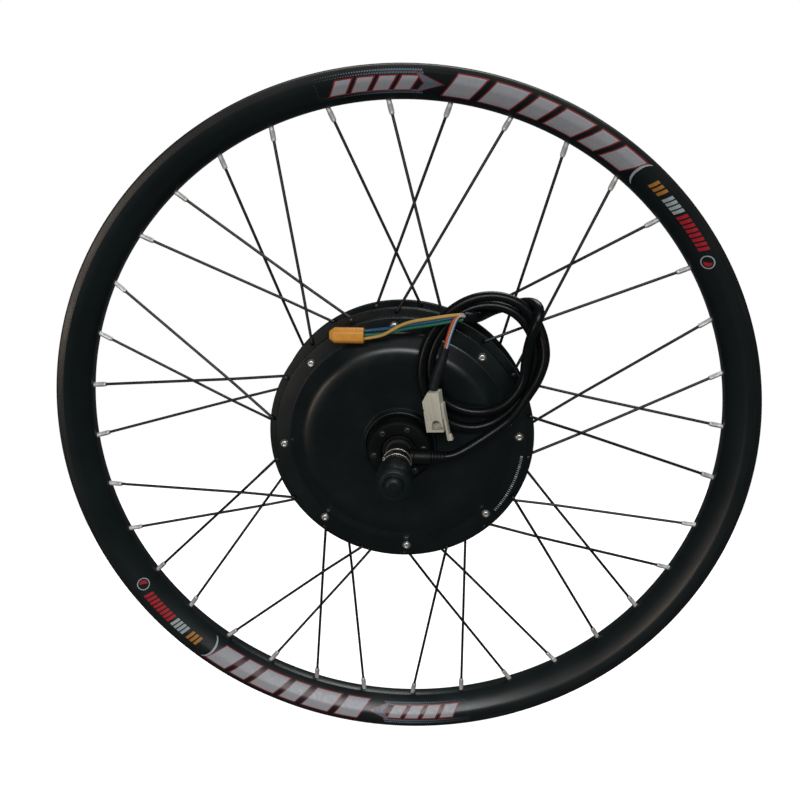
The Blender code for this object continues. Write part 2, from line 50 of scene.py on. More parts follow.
# ---- sizes (mm, degrees) ----
RIM_RADIUS = 318.0
RIM_HALF_WIDTH = 20.5
RIM_BED_RADIUS = 290.8
RIM_BAND_DEPTH = 6.6
RIM_STEPS = 360
NIPPLE_HOLE_RADIUS = 2.75
NIPPLE_HOLE_LEAD = 0.3
SPOKES_PER_SIDE = 18
SPOKE_RADIUS = 1.3
SPOKE_SPREAD = 20.0
SPOKE_CROSSING = 0.272
SPOKE_BEND = 2.6
NEAR_HOLE_PHASE = 91.9
SPOKE_HOLE_CIRCLE = 117.0
FLANGE_FACE = 18.2
FLANGE_THICK = 5.0
TURNED_STEPS = 240
COVER_BOLT_CIRCLE = 106.3
COVER_BOLT_PHASE = 3.05
COVER_BOLTS = 8
COVER_FACE = 24.2
BOSS_RADIUS = 29.0
DISC_FACE = 52.2
DISC_BOLT_CIRCLE = 22.0
DISC_BOLT_PHASE = 9.7
DISC_BOLTS = 6
SCREW_LIFT = 0.05
THREAD_PITCH = 1.5
THREAD_START = 68.2
TAB_WASHER_Y = 73.5
PLAIN_WASHER_Y = 84.4
NUT_Y = 91.2
CABLE_RADIUS = 4.25
PHASE_WIRE_RADIUS = 1.4
SENSOR_WIRE_RADIUS = 0.72
GLAND_Y = -60.8
GLAND_END = 41.0
COIL_CENTRE = (70.6, 79.0)

# ---- camera, at the photograph's angle ----
CAMERA_TARGET = Vector((-1.92, -1.45, 30.59)) * MM
CAMERA_AZIMUTH = math.radians(3.4748)
CAMERA_ELEVATION = math.radians(19.1179)
CAMERA_DISTANCE = 0.7848
CAMERA_LENS = 38.51


def make_camera():
    data = bpy.data.cameras.new("camera")
    data.lens = CAMERA_LENS
    data.sensor_width = 36.0
    data.clip_start = 0.01
    camera = bpy.data.objects.new("camera", data)
    bpy.context.scene.collection.objects.link(camera)
    back = Vector((math.sin(CAMERA_AZIMUTH) * math.cos(CAMERA_ELEVATION),
                   -math.cos(CAMERA_AZIMUTH) * math.cos(CAMERA_ELEVATION),
                   math.sin(CAMERA_ELEVATION)))
    camera.location = CAMERA_TARGET + back * CAMERA_DISTANCE
    camera.rotation_euler = (math.pi / 2 - CAMERA_ELEVATION, 0, CAMERA_AZIMUTH)
    bpy.context.scene.camera = camera


make_camera()


# ---- materials ----
class Surface:
    """A node material: a Principled shader with colour, roughness and bump worked out from noise."""

    def __init__(self, name, colour, roughness, metallic=0.0, **uniform):
        self.material = bpy.data.materials.new(name)
        self.material.use_nodes = True
        self.nodes = self.material.node_tree.nodes
        self.links = self.material.node_tree.links
        self.shader = self.nodes["Principled BSDF"]
        self.colour = (*colour, 1.0)
        self.roughness = roughness
        self.shader.inputs["Base Color"].default_value = self.colour
        self.shader.inputs["Roughness"].default_value = roughness
        self.shader.inputs["Metallic"].default_value = metallic
        for socket, value in uniform.items():
            self.shader.inputs[socket.replace("_", " ")].default_value = value
        self.place = self.nodes.new("ShaderNodeTexCoord").outputs["Object"]

    def math(self, operation, first, second=None):
        node = self.nodes.new("ShaderNodeMath")
        node.operation = operation
        for socket, value in zip(node.inputs, (first, second)):
            if value is None:
                continue
            if isinstance(value, (int, float)):
                socket.default_value = value
            else:
                self.links.new(value, socket)
        return node.outputs[0]

    def polar(self):
        """(distance from the spin axis, angle, y) as three outputs."""
        split = self.nodes.new("ShaderNodeSeparateXYZ")
        self.links.new(self.place, split.inputs[0])
        x, y, z = split.outputs
        radius = self.math("SQRT", self.math("ADD", self.math("MULTIPLY", x, x), self.math("MULTIPLY", z, z)))
        return radius, self.math("ARCTAN2", z, x), y

    def noise(self, scale, detail=4.0, rough=0.6, along=None):
        node = self.nodes.new("ShaderNodeTexNoise")
        node.inputs["Scale"].default_value = scale
        node.inputs["Detail"].default_value = detail
        node.inputs["Roughness"].default_value = rough
        self.links.new(along or self.place, node.inputs["Vector"])
        return node.outputs[0]

    def spread(self, value, low, high, start=0.3, end=0.7):
        node = self.nodes.new("ShaderNodeMapRange")
        node.inputs["From Min"].default_value = start
        node.inputs["From Max"].default_value = end
        node.inputs["To Min"].default_value = low
        node.inputs["To Max"].default_value = high
        self.links.new(value, node.inputs["Value"])
        return node.outputs[0]

    def tint(self, value, other, start=0.4, end=0.7, strength=1.0):
        """Blends towards another colour where value is high, over whatever colour is there already."""
        mix = self.nodes.new("ShaderNodeMix")
        mix.data_type = "RGBA"
        socket = self.shader.inputs["Base Color"]
        if socket.links:
            self.links.new(socket.links[0].from_socket, mix.inputs[6])
        else:
            mix.inputs[6].default_value = self.colour
        mix.inputs[7].default_value = (*other, 1.0)
        self.links.new(self.spread(value, 0.0, strength, start, end), mix.inputs[0])
        self.links.new(mix.outputs[2], socket)
        return self

    def shine(self, value, low, high, start=0.3, end=0.7):
        self.links.new(self.spread(value, low, high, start, end), self.shader.inputs["Roughness"])
        return self

    def bump(self, height, strength, depth):
        node = self.nodes.new("ShaderNodeBump")
        node.inputs["Strength"].default_value = strength
        node.inputs["Distance"].default_value = depth
        self.links.new(height, node.inputs["Height"])
        socket = self.shader.inputs["Normal"]
        if socket.links:
            self.links.new(socket.links[0].from_socket, node.inputs["Normal"])
        self.links.new(node.outputs[0], socket)
        return self

    def ring_vector(self, round_scale, across_scale, axial_scale):
        """Coordinates stretched round the spin axis, for turning marks and drawn grain."""
        radius, angle, y = self.polar()
        join = self.nodes.new("ShaderNodeCombineXYZ")
        for socket, value, scale in zip(join.inputs, (radius, angle, y),
                                        (across_scale, round_scale, axial_scale)):
            self.links.new(self.math("MULTIPLY", value, scale), socket)
        return join.outputs[0]


def anodised_rim():
    made = Surface("rim_anodised", (0.0028, 0.0066, 0.0076), 0.3, 0.0, Specular_IOR_Level=0.5)
    grain = made.noise(1.0, 5.0, 0.7, along=made.ring_vector(60.0, 2600.0, 2600.0))
    cloud = made.noise(14.0, 3.0)
    specks = made.noise(900.0, 2.0, 0.5)
    made.shine(cloud, 0.27, 0.36).tint(cloud, (0.0046, 0.0098, 0.0110), 0.4, 0.75)
    made.tint(specks, (0.06, 0.065, 0.07), 0.72, 0.8, 0.5)
    made.bump(grain, 0.14, 0.00003).bump(specks, 0.1, 0.00002)
    return made.material


def hub_paint(name, colour, roughness, grain_depth=0.00004, gloss=0.5):
    made = Surface(name, colour, roughness, 0.0, Specular_IOR_Level=gloss)
    peel = made.noise(1500.0, 3.0, 0.55)
    cloud = made.noise(22.0, 4.0, 0.6)
    dust = made.noise(700.0, 5.0, 0.75)
    lighter = tuple(c * 1.6 + 0.001 for c in colour)
    made.shine(cloud, roughness - 0.05, roughness + 0.07).tint(cloud, lighter, 0.42, 0.78)
    made.tint(dust, (0.075, 0.08, 0.085), 0.69, 0.8, 0.45)
    made.bump(peel, 0.22, grain_depth)
    return made.material


def turned_metal(name, colour, roughness, metallic=1.0, ring=(8.0, 5200.0, 5200.0), depth=0.00003):
    made = Surface(name, colour, roughness, metallic)
    lines = made.noise(1.0, 4.0, 0.7, along=made.ring_vector(*ring))
    stain = made.noise(160.0, 4.0)
    darker = tuple(c * 0.55 for c in colour)
    made.shine(stain, roughness - 0.08, roughness + 0.12).tint(stain, darker, 0.5, 0.8, 0.7)
    made.bump(lines, 0.35, depth)
    return made.material


def wire_black():
    made = Surface("spoke_coating", (0.0045, 0.005, 0.0055), 0.32, 0.0, Specular_IOR_Level=0.5)
    cloud = made.noise(120.0, 4.0)
    chips = made.noise(1400.0, 3.0, 0.6)
    made.shine(cloud, 0.34, 0.48).tint(cloud, (0.009, 0.0095, 0.010), 0.45, 0.8)
    made.tint(chips, (0.05, 0.05, 0.05), 0.76, 0.82, 0.3).bump(chips, 0.06, 0.00002)
    return made.material


def jacket(name, colour, roughness=0.42, mark=(0.05, 0.052, 0.055), gloss=0.5):
    made = Surface(name, colour, roughness, 0.0, Specular_IOR_Level=gloss)
    scuff = made.noise(260.0, 5.0, 0.7)
    fine = made.noise(2600.0, 2.0, 0.5)
    made.shine(scuff, roughness - 0.07, roughness + 0.1).tint(scuff, mark, 0.62, 0.85, 0.5)
    made.bump(fine, 0.2, 0.00005)
    return made.material


def moulded(name, colour, roughness, shade, gleam=0.0):
    made = Surface(name, colour, roughness, 0.0, Specular_IOR_Level=0.5, Subsurface_Weight=gleam,
                   Subsurface_Scale=0.002)
    cloud = made.noise(180.0, 4.0)
    sparkle = made.noise(3200.0, 2.0, 0.5)
    made.shine(cloud, roughness - 0.06, roughness + 0.08).tint(cloud, shade, 0.35, 0.8, 0.8)
    made.bump(sparkle, 0.18, 0.00004)
    return made.material


def printed(name, colour, shade):
    made = Surface(name, colour, 0.34, 0.0, Specular_IOR_Level=0.5)
    mottle = made.noise(420.0, 3.0)
    grain = made.noise(1.0, 4.0, 0.7, along=made.ring_vector(60.0, 2600.0, 2600.0))
    made.shine(mottle, 0.3, 0.42).tint(mottle, shade, 0.35, 0.75).bump(grain, 0.1, 0.00002)
    return made.material


def washer_plating():
    """Bright zinc on the edge; inside 11.8 mm the faces are painted darker and browner, painted shade that
    leaves the edge as a bright lit line.
    """
    made = Surface("washer_zinc", (0.66, 0.64, 0.60), 0.3, 1.0)
    radius = made.polar()[0]
    lines = made.noise(1.0, 4.0, 0.7, along=made.ring_vector(8.0, 5200.0, 5200.0))
    stain = made.noise(160.0, 4.0)
    # painted shade: faces inside 11.8 mm radius turn dark brown, so only the edge shows bright zinc
    made.tint(radius, (0.10, 0.085, 0.07), 0.0122, 0.0118).tint(stain, (0.30, 0.26, 0.20), 0.5, 0.8, 0.5)
    made.shine(stain, 0.26, 0.42).bump(lines, 0.35, 0.00003)
    return made.material


def brake_track():
    """The rim's machined side band: fine turned grooves spread the light across the rim."""
    made = Surface("rim_machined_band", (0.0038, 0.0062, 0.0068), 0.27, 0.0, Specular_IOR_Level=0.42)
    grooves = made.noise(1.0, 2.0, 0.5, along=made.ring_vector(2.0, 3400.0, 200.0))
    coarse = made.noise(1.0, 3.0, 0.6, along=made.ring_vector(6.0, 900.0, 200.0))
    cloud = made.noise(14.0, 3.0)
    made.shine(cloud, 0.26, 0.36).tint(coarse, (0.014, 0.014, 0.014), 0.45, 0.7)
    made.bump(grooves, 0.3, 0.00008).bump(coarse, 0.4, 0.00005)
    return made.material


RIM_BLACK = anodised_rim()
RIM_BAND = brake_track()
COVER_BLACK = hub_paint("cover_paint", (0.0020, 0.0048, 0.0054), 0.31, 0.00004, 0.42)
SHELL_BLACK = hub_paint("shell_paint", (0.0020, 0.0046, 0.0052), 0.31, 0.00004, 0.42)
BOSS_BLACK = hub_paint("screw_black", (0.008, 0.009, 0.0095), 0.3, 0.00002, 0.6)
HUB_NOSE_BLACK = hub_paint("disc_mount_paint", (0.0028, 0.0036, 0.0040), 0.5, 0.00003, 0.1)
SPOKE_BLACK = wire_black()
NIPPLE_SILVER = turned_metal("nipple_plating", (0.72, 0.72, 0.70), 0.5, 0.45)
SCREW_SILVER = turned_metal("screw_zinc", (0.68, 0.67, 0.63), 0.33)
WASHER_SILVER = washer_plating()
AXLE_STEEL = turned_metal("axle_blackened_steel", (0.008, 0.008, 0.008), 0.45, 0.0)
CAP_RUBBER = jacket("cap_rubber_satin", (0.0038, 0.0080, 0.0090), 0.4, (0.014, 0.019, 0.021), 0.3)
JACKET_BLACK = jacket("cable_jacket_black", (0.0028, 0.0036, 0.0042), 0.3, (0.016, 0.018, 0.020), 0.26)
GLAND_BLACK = jacket("gland_rubber_black", (0.0034, 0.004, 0.0045), 0.46, (0.02, 0.022, 0.024), 0.25)
SLEEVE_BLACK = jacket("shrink_sleeve", (0.007, 0.009, 0.011), 0.5, (0.02, 0.023, 0.026), 0.3)
WIRES = {colour: jacket(f"wire_{colour}_pvc", shade, 0.38, mark) for colour, shade, mark in (
    ("yellow", (0.56, 0.34, 0.085), (0.7, 0.5, 0.22)),
    ("green", (0.012, 0.13, 0.075), (0.05, 0.22, 0.15)),
    ("blue", (0.010, 0.075, 0.16), (0.05, 0.14, 0.25)),
    ("sky", (0.05, 0.22, 0.42), (0.15, 0.35, 0.55)),
    ("red", (0.36, 0.022, 0.018), (0.5, 0.12, 0.1)),
    ("orange", (0.62, 0.16, 0.04), (0.7, 0.35, 0.2)),
    ("white", (0.48, 0.50, 0.56), (0.35, 0.36, 0.4)),
)}
PLUG_ORANGE = moulded("plug_orange", (0.78, 0.36, 0.055), 0.36, (0.66, 0.24, 0.03), 0.08)
PLUG_IVORY = moulded("plug_ivory", (0.56, 0.54, 0.45), 0.42, (0.49, 0.46, 0.36), 0.1)
PRINT_SILVER = printed("print_silver", (0.38, 0.39, 0.42), (0.33, 0.34, 0.375))
PRINT_RED = printed("print_dark_red", (0.26, 0.018, 0.022), (0.20, 0.014, 0.018))
PRINT_BLUE = printed("print_blue_grey", (0.13, 0.17, 0.21), (0.10, 0.135, 0.17))
PRINT_BRIGHT_RED = printed("print_red", (0.48, 0.016, 0.03), (0.40, 0.014, 0.025))
PRINT_WHITE = printed("print_white", (0.42, 0.47, 0.49), (0.36, 0.41, 0.43))
PRINT_ORANGE = printed("print_orange", (0.48, 0.20, 0.03), (0.40, 0.16, 0.025))


# ---- mesh helpers ----
def polar(radius, degrees, y=0.0):
    angle = math.radians(degrees)
    return Vector((radius * math.cos(angle), y, radius * math.sin(angle)))


def rounded(corners, per_quarter=5):
    """The polyline through (radius, y, corner radius) corners, with an arc in place of each corner."""
    points = [Vector(corners[0][:2])]
    for before, corner, after in zip(corners, corners[1:], corners[2:]):
        tip, size = Vector(corner[:2]), corner[2]
        if size == 0:
            points.append(tip)
            continue
        back, ahead = Vector(before[:2]) - tip, Vector(after[:2]) - tip
        half = back.angle(ahead) / 2
        reach = min(size / math.tan(half), 0.49 * back.length, 0.49 * ahead.length)
        middle = tip + (back.normalized() + ahead.normalized()).normalized() * (reach / math.cos(half))
        start = tip + back.normalized() * reach - middle
        end = tip + ahead.normalized() * reach - middle
        sweep = start.angle_signed(end)
        count = max(1, math.ceil((math.pi - 2 * half) / (math.pi / 2) * per_quarter))
        for i in range(count + 1):
            points.append(middle + Matrix.Rotation(-sweep * i / count, 2) @ start)
    points.append(Vector(corners[-1][:2]))
    return points


def mirrored(corners):
    return [(corner[0], -corner[1], *corner[2:]) for corner in corners]


def finished(name, built, material, sharp=32.0):
    """A smooth-shaded object from a bmesh, with edges sharper than the limit kept crisp."""
    bmesh.ops.recalc_face_normals(built, faces=built.faces)
    mesh = bpy.data.meshes.new(name)
    built.to_mesh(mesh)
    built.free()
    for face in mesh.polygons:
        face.use_smooth = True
    mesh.set_sharp_from_angle(angle=math.radians(sharp))
    made = bpy.data.objects.new(name, mesh)
    bpy.context.scene.collection.objects.link(made)
    if material is not None:
        mesh.materials.append(material)
    return made


def rings_to_faces(built, rings, closed):
    pairs = list(zip(rings, rings[1:])) + ([(rings[-1], rings[0])] if closed else [])
    for lower, upper in pairs:
        count = max(len(lower), len(upper))
        for i in range(count):
            j = (i + 1) % count
            if len(lower) == 1:
                built.faces.new((lower[0], upper[i], upper[j]))
            elif len(upper) == 1:
                built.faces.new((lower[i], upper[0], lower[j]))
            else:
                built.faces.new((lower[i], upper[i], upper[j], lower[j]))


def lathe(name, points, steps, material, closed=False, frame_matrix=None, sharp=32.0, shape=None):
    """Turns a list of (radius, y) round Y. shape(radius, y, angle) may change the radius round the turn."""
    built = bmesh.new()
    place = frame_matrix or Matrix.Identity(4)
    rings = []
    for radius, y in points:
        if radius < 0.0005:
            rings.append([built.verts.new(place @ (Vector((0, y, 0)) * MM))])
            continue
        ring = []
        for i in range(steps):
            turn = 360 * i / steps
            size = shape(radius, y, math.radians(turn)) if shape else radius
            ring.append(built.verts.new(place @ (polar(size, turn, y) * MM)))
        rings.append(ring)
    rings_to_faces(built, rings, closed)
    return finished(name, built, material, sharp)


def frames_along(path):
    """For each point, two directions square to the path, carried along it without twist."""
    tangents = []
    for i in range(len(path)):
        ahead, behind = path[min(i + 1, len(path) - 1)], path[max(i - 1, 0)]
        tangents.append((ahead - behind).normalized())
    side = tangents[0].orthogonal().normalized()
    found = []
    for i, tangent in enumerate(tangents):
        if i:
            side = tangents[i - 1].rotation_difference(tangent) @ side
            side = (side - tangent * side.dot(tangent)).normalized()
        found.append((side, tangent.cross(side)))
    return found


def sweep(name, path, radii, sides, material, flats=None, sharp=50.0):
    """A round bar along a path in mm with a radius at each point. flats gives some points a half-width."""
    built = bmesh.new()
    path = [Vector(p) for p in path]
    rings = []
    for i, (point, (side, other)) in enumerate(zip(path, frames_along(path))):
        ring = []
        for k in range(sides):
            turn = 2 * math.pi * k / sides
            across, up = radii[i] * math.cos(turn), radii[i] * math.sin(turn)
            if flats and i in flats:
                limit = flats[i]
                across, up = max(-limit, min(limit, across)), max(-limit, min(limit, up))
            ring.append(built.verts.new((point + side * across + other * up) * MM))
        rings.append(ring)
    rings_to_faces(built, rings, False)
    built.faces.new(rings[0][::-1])
    built.faces.new(rings[-1])
    return finished(name, built, material, sharp)


def smooth_curve(points, spacing):
    """Points about `spacing` apart on the Catmull-Rom curve through given points."""
    knots = [Vector(p) for p in points]
    knots = [2 * knots[0] - knots[1]] + knots + [2 * knots[-1] - knots[-2]]
    found = []
    for a, b, c, d in zip(knots, knots[1:], knots[2:], knots[3:]):
        count = max(1, round((c - b).length / spacing))
        for i in range(count):
            t = i / count
            found.append(0.5 * ((2 * b) + (c - a) * t + (2 * a - 5 * b + 4 * c - d) * t * t
                                + (3 * b - a - 3 * c + d) * t ** 3))
    return found + [knots[-2]]


def eased(points, rounds):
    """Softens a path's corners by averaging each inner point with its neighbours."""
    for _ in range(rounds):
        inner = [(a + 2 * b + c) / 4 for a, b, c in zip(points, points[1:], points[2:])]
        points = [points[0]] + inner + [points[-1]]
    return points


def path_length(points):
    return sum((b - a).length for a, b in zip(points, points[1:]))


def boolean(made, other, operation="DIFFERENCE"):
    """Cuts or joins now, and removes the other object."""
    step = made.modifiers.new("cut", "BOOLEAN")
    step.operation = operation
    step.solver = "EXACT"
    step.object = other
    bpy.context.view_layer.update()
    mesh = bpy.data.meshes.new_from_object(made.evaluated_get(bpy.context.evaluated_depsgraph_get()))
    made.modifiers.clear()
    made.data = mesh
    bpy.data.objects.remove(other)
    mesh.set_sharp_from_angle(angle=math.radians(32.0))
    return made


def cylinders(ends, radius, sides):
    """Closed cylinders between pairs of points in mm, in one cutter object."""
    built = bmesh.new()
    for start, end in ends:
        turn = (end - start).to_track_quat("Z", "Y").to_matrix().to_4x4()
        place = Matrix.Translation((start + end) / 2 * MM) @ turn
        bmesh.ops.create_cone(built, cap_ends=True, segments=sides, radius1=radius * MM,
                              radius2=radius * MM, depth=(end - start).length * MM, matrix=place)
    return finished("cutter", built, None)


def settle(made, body, slot, *nodes):
    """The piece rides on a body and stands for CAD nodes, whose parts are hidden. slot is not used."""
    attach(made, body)
    if nodes:
        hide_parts(*nodes)
    return made


# ---- cable, wires and what is on them ----
# The routes repeat part.py's points, in millimetres.
LEAD_ROUTE = [
    (41.9, -60.8, 0.0), (47.4, -60.8, 0.7), (54.0, -59.2, 4.2), (61.0, -57.4, 7.8),
    (68.0, -55.6, 12.1), (76.0, -54.1, 17.2),
]
COIL_ENTRY = [
    (83.4, -52.8, 22.3), (91.5, -51.6, 28.4), (98.7, -50.8, 35.4), (104.5, -50.2, 44.3),
    (109.4, -49.8, 53.6), (115.3, -49.4, 62.9), (119.2, -49.0, 72.6),
]
COIL_EXIT = [(106.5, -48.2, 80.1), (107.1, -50.6, 91.1), (108.7, -53.6, 102.8)]
TAIL_ROUTE = [
    (111.4, -57.0, 113.6), (114.2, -57.6, 121.4), (115.5, -54.2, 127.6), (114.2, -47.2, 131.2),
    (109.7, -38.6, 131.6), (102.6, -31.2, 129.6), (94.0, -30.8, 127.0), (85.2, -30.8, 124.9),
    (79.0, -31.2, 123.2), (73.8, -35.4, 121.3), (69.6, -42.6, 121.0), (65.8, -50.0, 121.0),
    (61.2, -56.8, 121.8), (54.1, -58.6, 122.8),
]
YELLOW_ROUTE = [
    (57.0, -58.8, 124.6), (51.6, -58.6, 124.9), (45.9, -57.6, 124.2), (34.6, -56.1, 122.2),
    (24.3, -54.6, 120.0), (13.8, -52.1, 117.6), (4.1, -48.9, 114.0), (-2.6, -47.4, 110.2),
    (-8.2, -46.6, 106.7), (-13.6, -44.8, 103.2), (-22.5, -41.8, 100.3), (-32.2, -40.1, 98.2),
]
GREEN_ROUTE = [
    (57.0, -58.4, 121.2), (51.6, -58.4, 120.6), (46.0, -57.5, 119.4), (34.7, -56.1, 116.8),
    (24.4, -54.6, 114.5), (11.9, -51.4, 111.8), (2.1, -47.7, 108.8), (-9.2, -43.6, 105.2),
    (-18.0, -41.4, 103.1), (-32.2, -40.1, 101.6),
]
BLUE_ROUTE = [
    (57.0, -56.8, 123.0), (51.6, -56.8, 122.7), (45.7, -56.0, 121.7), (34.7, -55.0, 119.3),
    (24.3, -53.6, 117.0), (14.8, -51.0, 114.9), (2.1, -46.7, 111.4), (-10.1, -42.3, 108.2),
    (-22.4, -40.4, 106.2), (-32.2, -40.1, 104.9),
]
HALL_ROUTE = [
    (56.0, -59.2, 122.8), (52.4, -61.4, 125.0), (48.6, -62.2, 124.6), (46.0, -62.0, 120.4),
    (43.6, -61.5, 113.0), (41.2, -61.0, 104.8), (39.6, -60.4, 97.4), (36.4, -60.2, 86.0),
    (32.6, -60.4, 74.0), (29.8, -60.5, 63.0),
]
SLEEVE_ROUTE = [(39.4, -60.2, 97.2), (36.4, -60.2, 86.0), (32.6, -60.4, 74.0), (29.4, -60.5, 61.4)]
HALL_PLUG_CENTRE = Vector((30.6, -60.5, 42.8))
HALL_PLUG_TILT = -8.5
HALL_PLUG_TURN = -16.0
PHASE_PLUG_AXIS = Vector((0, -39.6, 101.2))
PHASE_PLUG_SPAN = (-59.8, -30.2)

COIL_LEAN = 0.1
COIL_START, COIL_END = 6.0, 702.0     # degrees round the coil, from its first to its last pass


def ease_step(value, start, end):
    t = max(0.0, min(1.0, (value - start) / (end - start)))
    return t * t * (3 - 2 * t)


def coil_points():
    """The coil's passes: an oval leaning to the right, which steps inwards at its lower right."""
    found = []
    turn = COIL_START
    while turn <= COIL_END:
        first, second = ease_step(turn, 262, 352), ease_step(turn, 600, 706)
        across = 51.6 - 7.3 * first - 5.9 * second
        up = 59.0 - 8.5 * first - 6.0 * ease_step(turn, 500, 620)
        depth = (-48.6 + 3.3 * ease_step(turn, 6, 40) + 4.4 * ease_step(turn, 200, 300)
                 - 6.4 * ease_step(turn, 610, 700))
        angle = math.radians(turn)
        rise = up * math.sin(angle)
        found.append(Vector((COIL_CENTRE[0] + across * math.cos(angle) + COIL_LEAN * rise, depth,
                             COIL_CENTRE[1] + rise)))
        turn += 12.0
    return found


def make_cable():
    start = [Vector((33.0, GLAND_Y, 0))] + [Vector(p) for p in LEAD_ROUTE + COIL_ENTRY]
    whole = start + coil_points() + [Vector(p) for p in COIL_EXIT + TAIL_ROUTE]
    path = eased(smooth_curve(whole, 4.0), 3)
    made = sweep("motor_cable", path, [CABLE_RADIUS] * len(path), 20, JACKET_BLACK)
    settle(made, "root", "cable_black", "cable_lead", "cable_coil", "cable_tail")
    return made, path


def make_gland():
    """A tapered strain relief, ribbed near its outer end."""
    corners = [(0, 5.6, 0), (4.3, 5.6, 0.3), (4.3, 9.9, 0), (7.0, 10.4, 0.5), (7.0, 13.4, 0.6),
               (6.1, 14.2, 0.5), (6.1, 25.6, 0.4)]
    for i in range(5):
        start = 26.4 + i * 2.7
        size = 6.0 - 0.2 * i
        corners += [(size, start, 0.3), (size - 0.1, start + 1.6, 0.3), (size - 0.9, start + 1.9, 0.2),
                    (size - 0.95, start + 2.5, 0.2)]
    corners += [(5.2, 40.2, 0.3), (4.9, GLAND_END, 0.3), (0, GLAND_END, 0)]
    lay = Matrix.Translation((0, GLAND_Y * MM, 0)) @ Matrix.Rotation(-math.pi / 2, 4, "Z")
    made = lathe("cable_strain_relief", rounded(corners, 3), 36, GLAND_BLACK, frame_matrix=lay)
    return settle(made, "root", "rubber_black", "cable_gland")


def make_jacket_end(path):
    """The cut end of the jacket, with a short band of shrink sleeve where the wires come out."""
    end, before = path[-1], path[-4]
    out = (end - before).normalized()
    line = [end - out * 12.0, end - out * 11.4, end - out * 1.0, end + out * 0.6, end + out * 1.0]
    made = sweep("jacket_end_sleeve", line, [4.2, 4.55, 4.55, 4.5, 3.9], 24, JACKET_BLACK)
    return settle(made, "root", "rubber_black")


def box_block(built, size, centre, place, taper=1.0):
    """A box added to a bmesh; taper narrows its +Z end."""
    scale = Matrix.Diagonal((size[0] * MM, size[1] * MM, size[2] * MM, 1.0))
    move = Matrix.Translation(Vector(centre) * MM)
    made = bmesh.ops.create_cube(built, size=1.0, matrix=Matrix.Identity(4))["verts"]
    for vert in made:
        if vert.co.z > 0:
            vert.co.x *= taper
            vert.co.y *= taper
        vert.co = place @ move @ scale @ vert.co


def block(name, size, centre, place, taper=1.0):
    built = bmesh.new()
    box_block(built, size, centre, place, taper)
    return finished(name, built, None)


def soften(made, width, segments=2, angle=40.0):
    """A real rounded edge, applied at once."""
    step = made.modifiers.new("edge", "BEVEL")
    step.width = width * MM
    step.segments = segments
    step.limit_method = "ANGLE"
    step.angle_limit = math.radians(angle)
    bpy.context.view_layer.update()
    mesh = bpy.data.meshes.new_from_object(made.evaluated_get(bpy.context.evaluated_depsgraph_get()))
    made.modifiers.clear()
    made.data = mesh
    for face in mesh.polygons:
        face.use_smooth = True
    mesh.set_sharp_from_angle(angle=math.radians(38.0))
    return made


def tilted(degrees):
    return Matrix.Rotation(math.radians(degrees), 4, "Y")


def make_hall_plug():
    """The sensor plug: a ribbed housing turned a little, open below, with a latch arm on its right."""
    place = (Matrix.Translation(HALL_PLUG_CENTRE * MM) @ tilted(HALL_PLUG_TILT)
             @ Matrix.Rotation(math.radians(HALL_PLUG_TURN), 4, "Z"))
    made = block("sensor_plug", (15.2, 10.0, 35.4), (0, -0.5, -0.6), place)
    for x, width in ((-5.2, 1.6), (-1.4, 1.6), (2.8, 3.6)):
        boolean(made, block("rib", (width, 0.7, 24.4), (x, -5.4, 4.4), place), "UNION")
    boolean(made, block("step", (3.4, 6.4, 13.0), (7.6, 0.6, -0.4), place), "UNION")
    arm = place @ Matrix.Translation(Vector((7.4, 0.6, 6.0)) * MM) @ tilted(-3)
    boolean(made, block("latch_arm", (2.0, 5.6, 33.0), (0.6, 0, -16.5), arm), "UNION")
    boolean(made, block("latch_hook", (4.2, 5.2, 5.4), (1.8, 0, -31.0), arm, 0.6), "UNION")
    corner = place @ Matrix.Translation(Vector((-4.9, 0, 13.3)) * MM) @ tilted(35)
    boolean(made, block("chamfer", (10.0, 14.0, 24.0), (-5.0, 0, 0), corner))
    soften(made, 0.4)
    boolean(made, block("notch", (1.6, 12.0, 1.8), (-7.8, 0, 1.8), place))
    boolean(made, block("socket", (11.6, 5.4, 24.0), (0, 0.4, -9.0), place))
    boolean(made, block("window", (10.0, 6.0, 3.0), (2.2, -4.5, -14.8), place))
    arch = [place @ (Vector((2.2, y, -12.0)) * MM) / MM for y in (-7.4, -1.5)]
    boolean(made, cylinders([tuple(arch)], 4.3, 28))
    for x in (-3.6, 0.0, 3.6):
        for y in (-1.0, 1.8):
            boolean(made, block("cavity", (2.0, 2.0, 6.0), (x, y, 4.8), place))
    made.data.materials.clear()
    made.data.materials.append(PLUG_IVORY)
    return settle(made, "root", "connector_ivory", "hall_connector")


def make_phase_plug():
    """A three-way power plug: an eight-sided shell with a blunt closed nose and an open back."""
    half_z, half_y, cut = 6.4, 5.6, 2.9
    side = [(half_y - cut, half_z), (half_y, half_z - cut), (half_y, cut - half_z), (half_y - cut, -half_z)]
    outline = side + [(-y, z) for y, z in side[::-1]]
    low, high = PHASE_PLUG_SPAN
    stations = [(low, 0.56), (low + 4.4, 1.0), (high - 1.6, 1.0), (high, 0.96)]
    built = bmesh.new()
    rings = []
    for x, scale in stations:
        ring = [PHASE_PLUG_AXIS + Vector((x, y * scale, z * scale)) for y, z in outline]
        rings.append([built.verts.new(point * MM) for point in ring])
    rings_to_faces(built, rings, False)
    built.faces.new(rings[0][::-1])
    built.faces.new(rings[-1])
    made = finished("power_plug", built, None)
    soften(made, 0.7, 3, 20.0)
    pocket = Matrix.Translation((PHASE_PLUG_AXIS + Vector((high, 0, 0))) * MM)
    boolean(made, block("pocket", (9.0, 7.6, 9.6), (0, 0, 0), pocket))
    for offset in (-3.6, 0.0, 3.6):
        start = PHASE_PLUG_AXIS + Vector((low - 1, 0, offset * 0.62))
        boolean(made, cylinders([(start, start + Vector((9, 0, 0)))], 1.0, 20))
    made.data.materials.clear()
    made.data.materials.append(PLUG_ORANGE)
    return settle(made, "root", "connector_orange", "phase_connector")


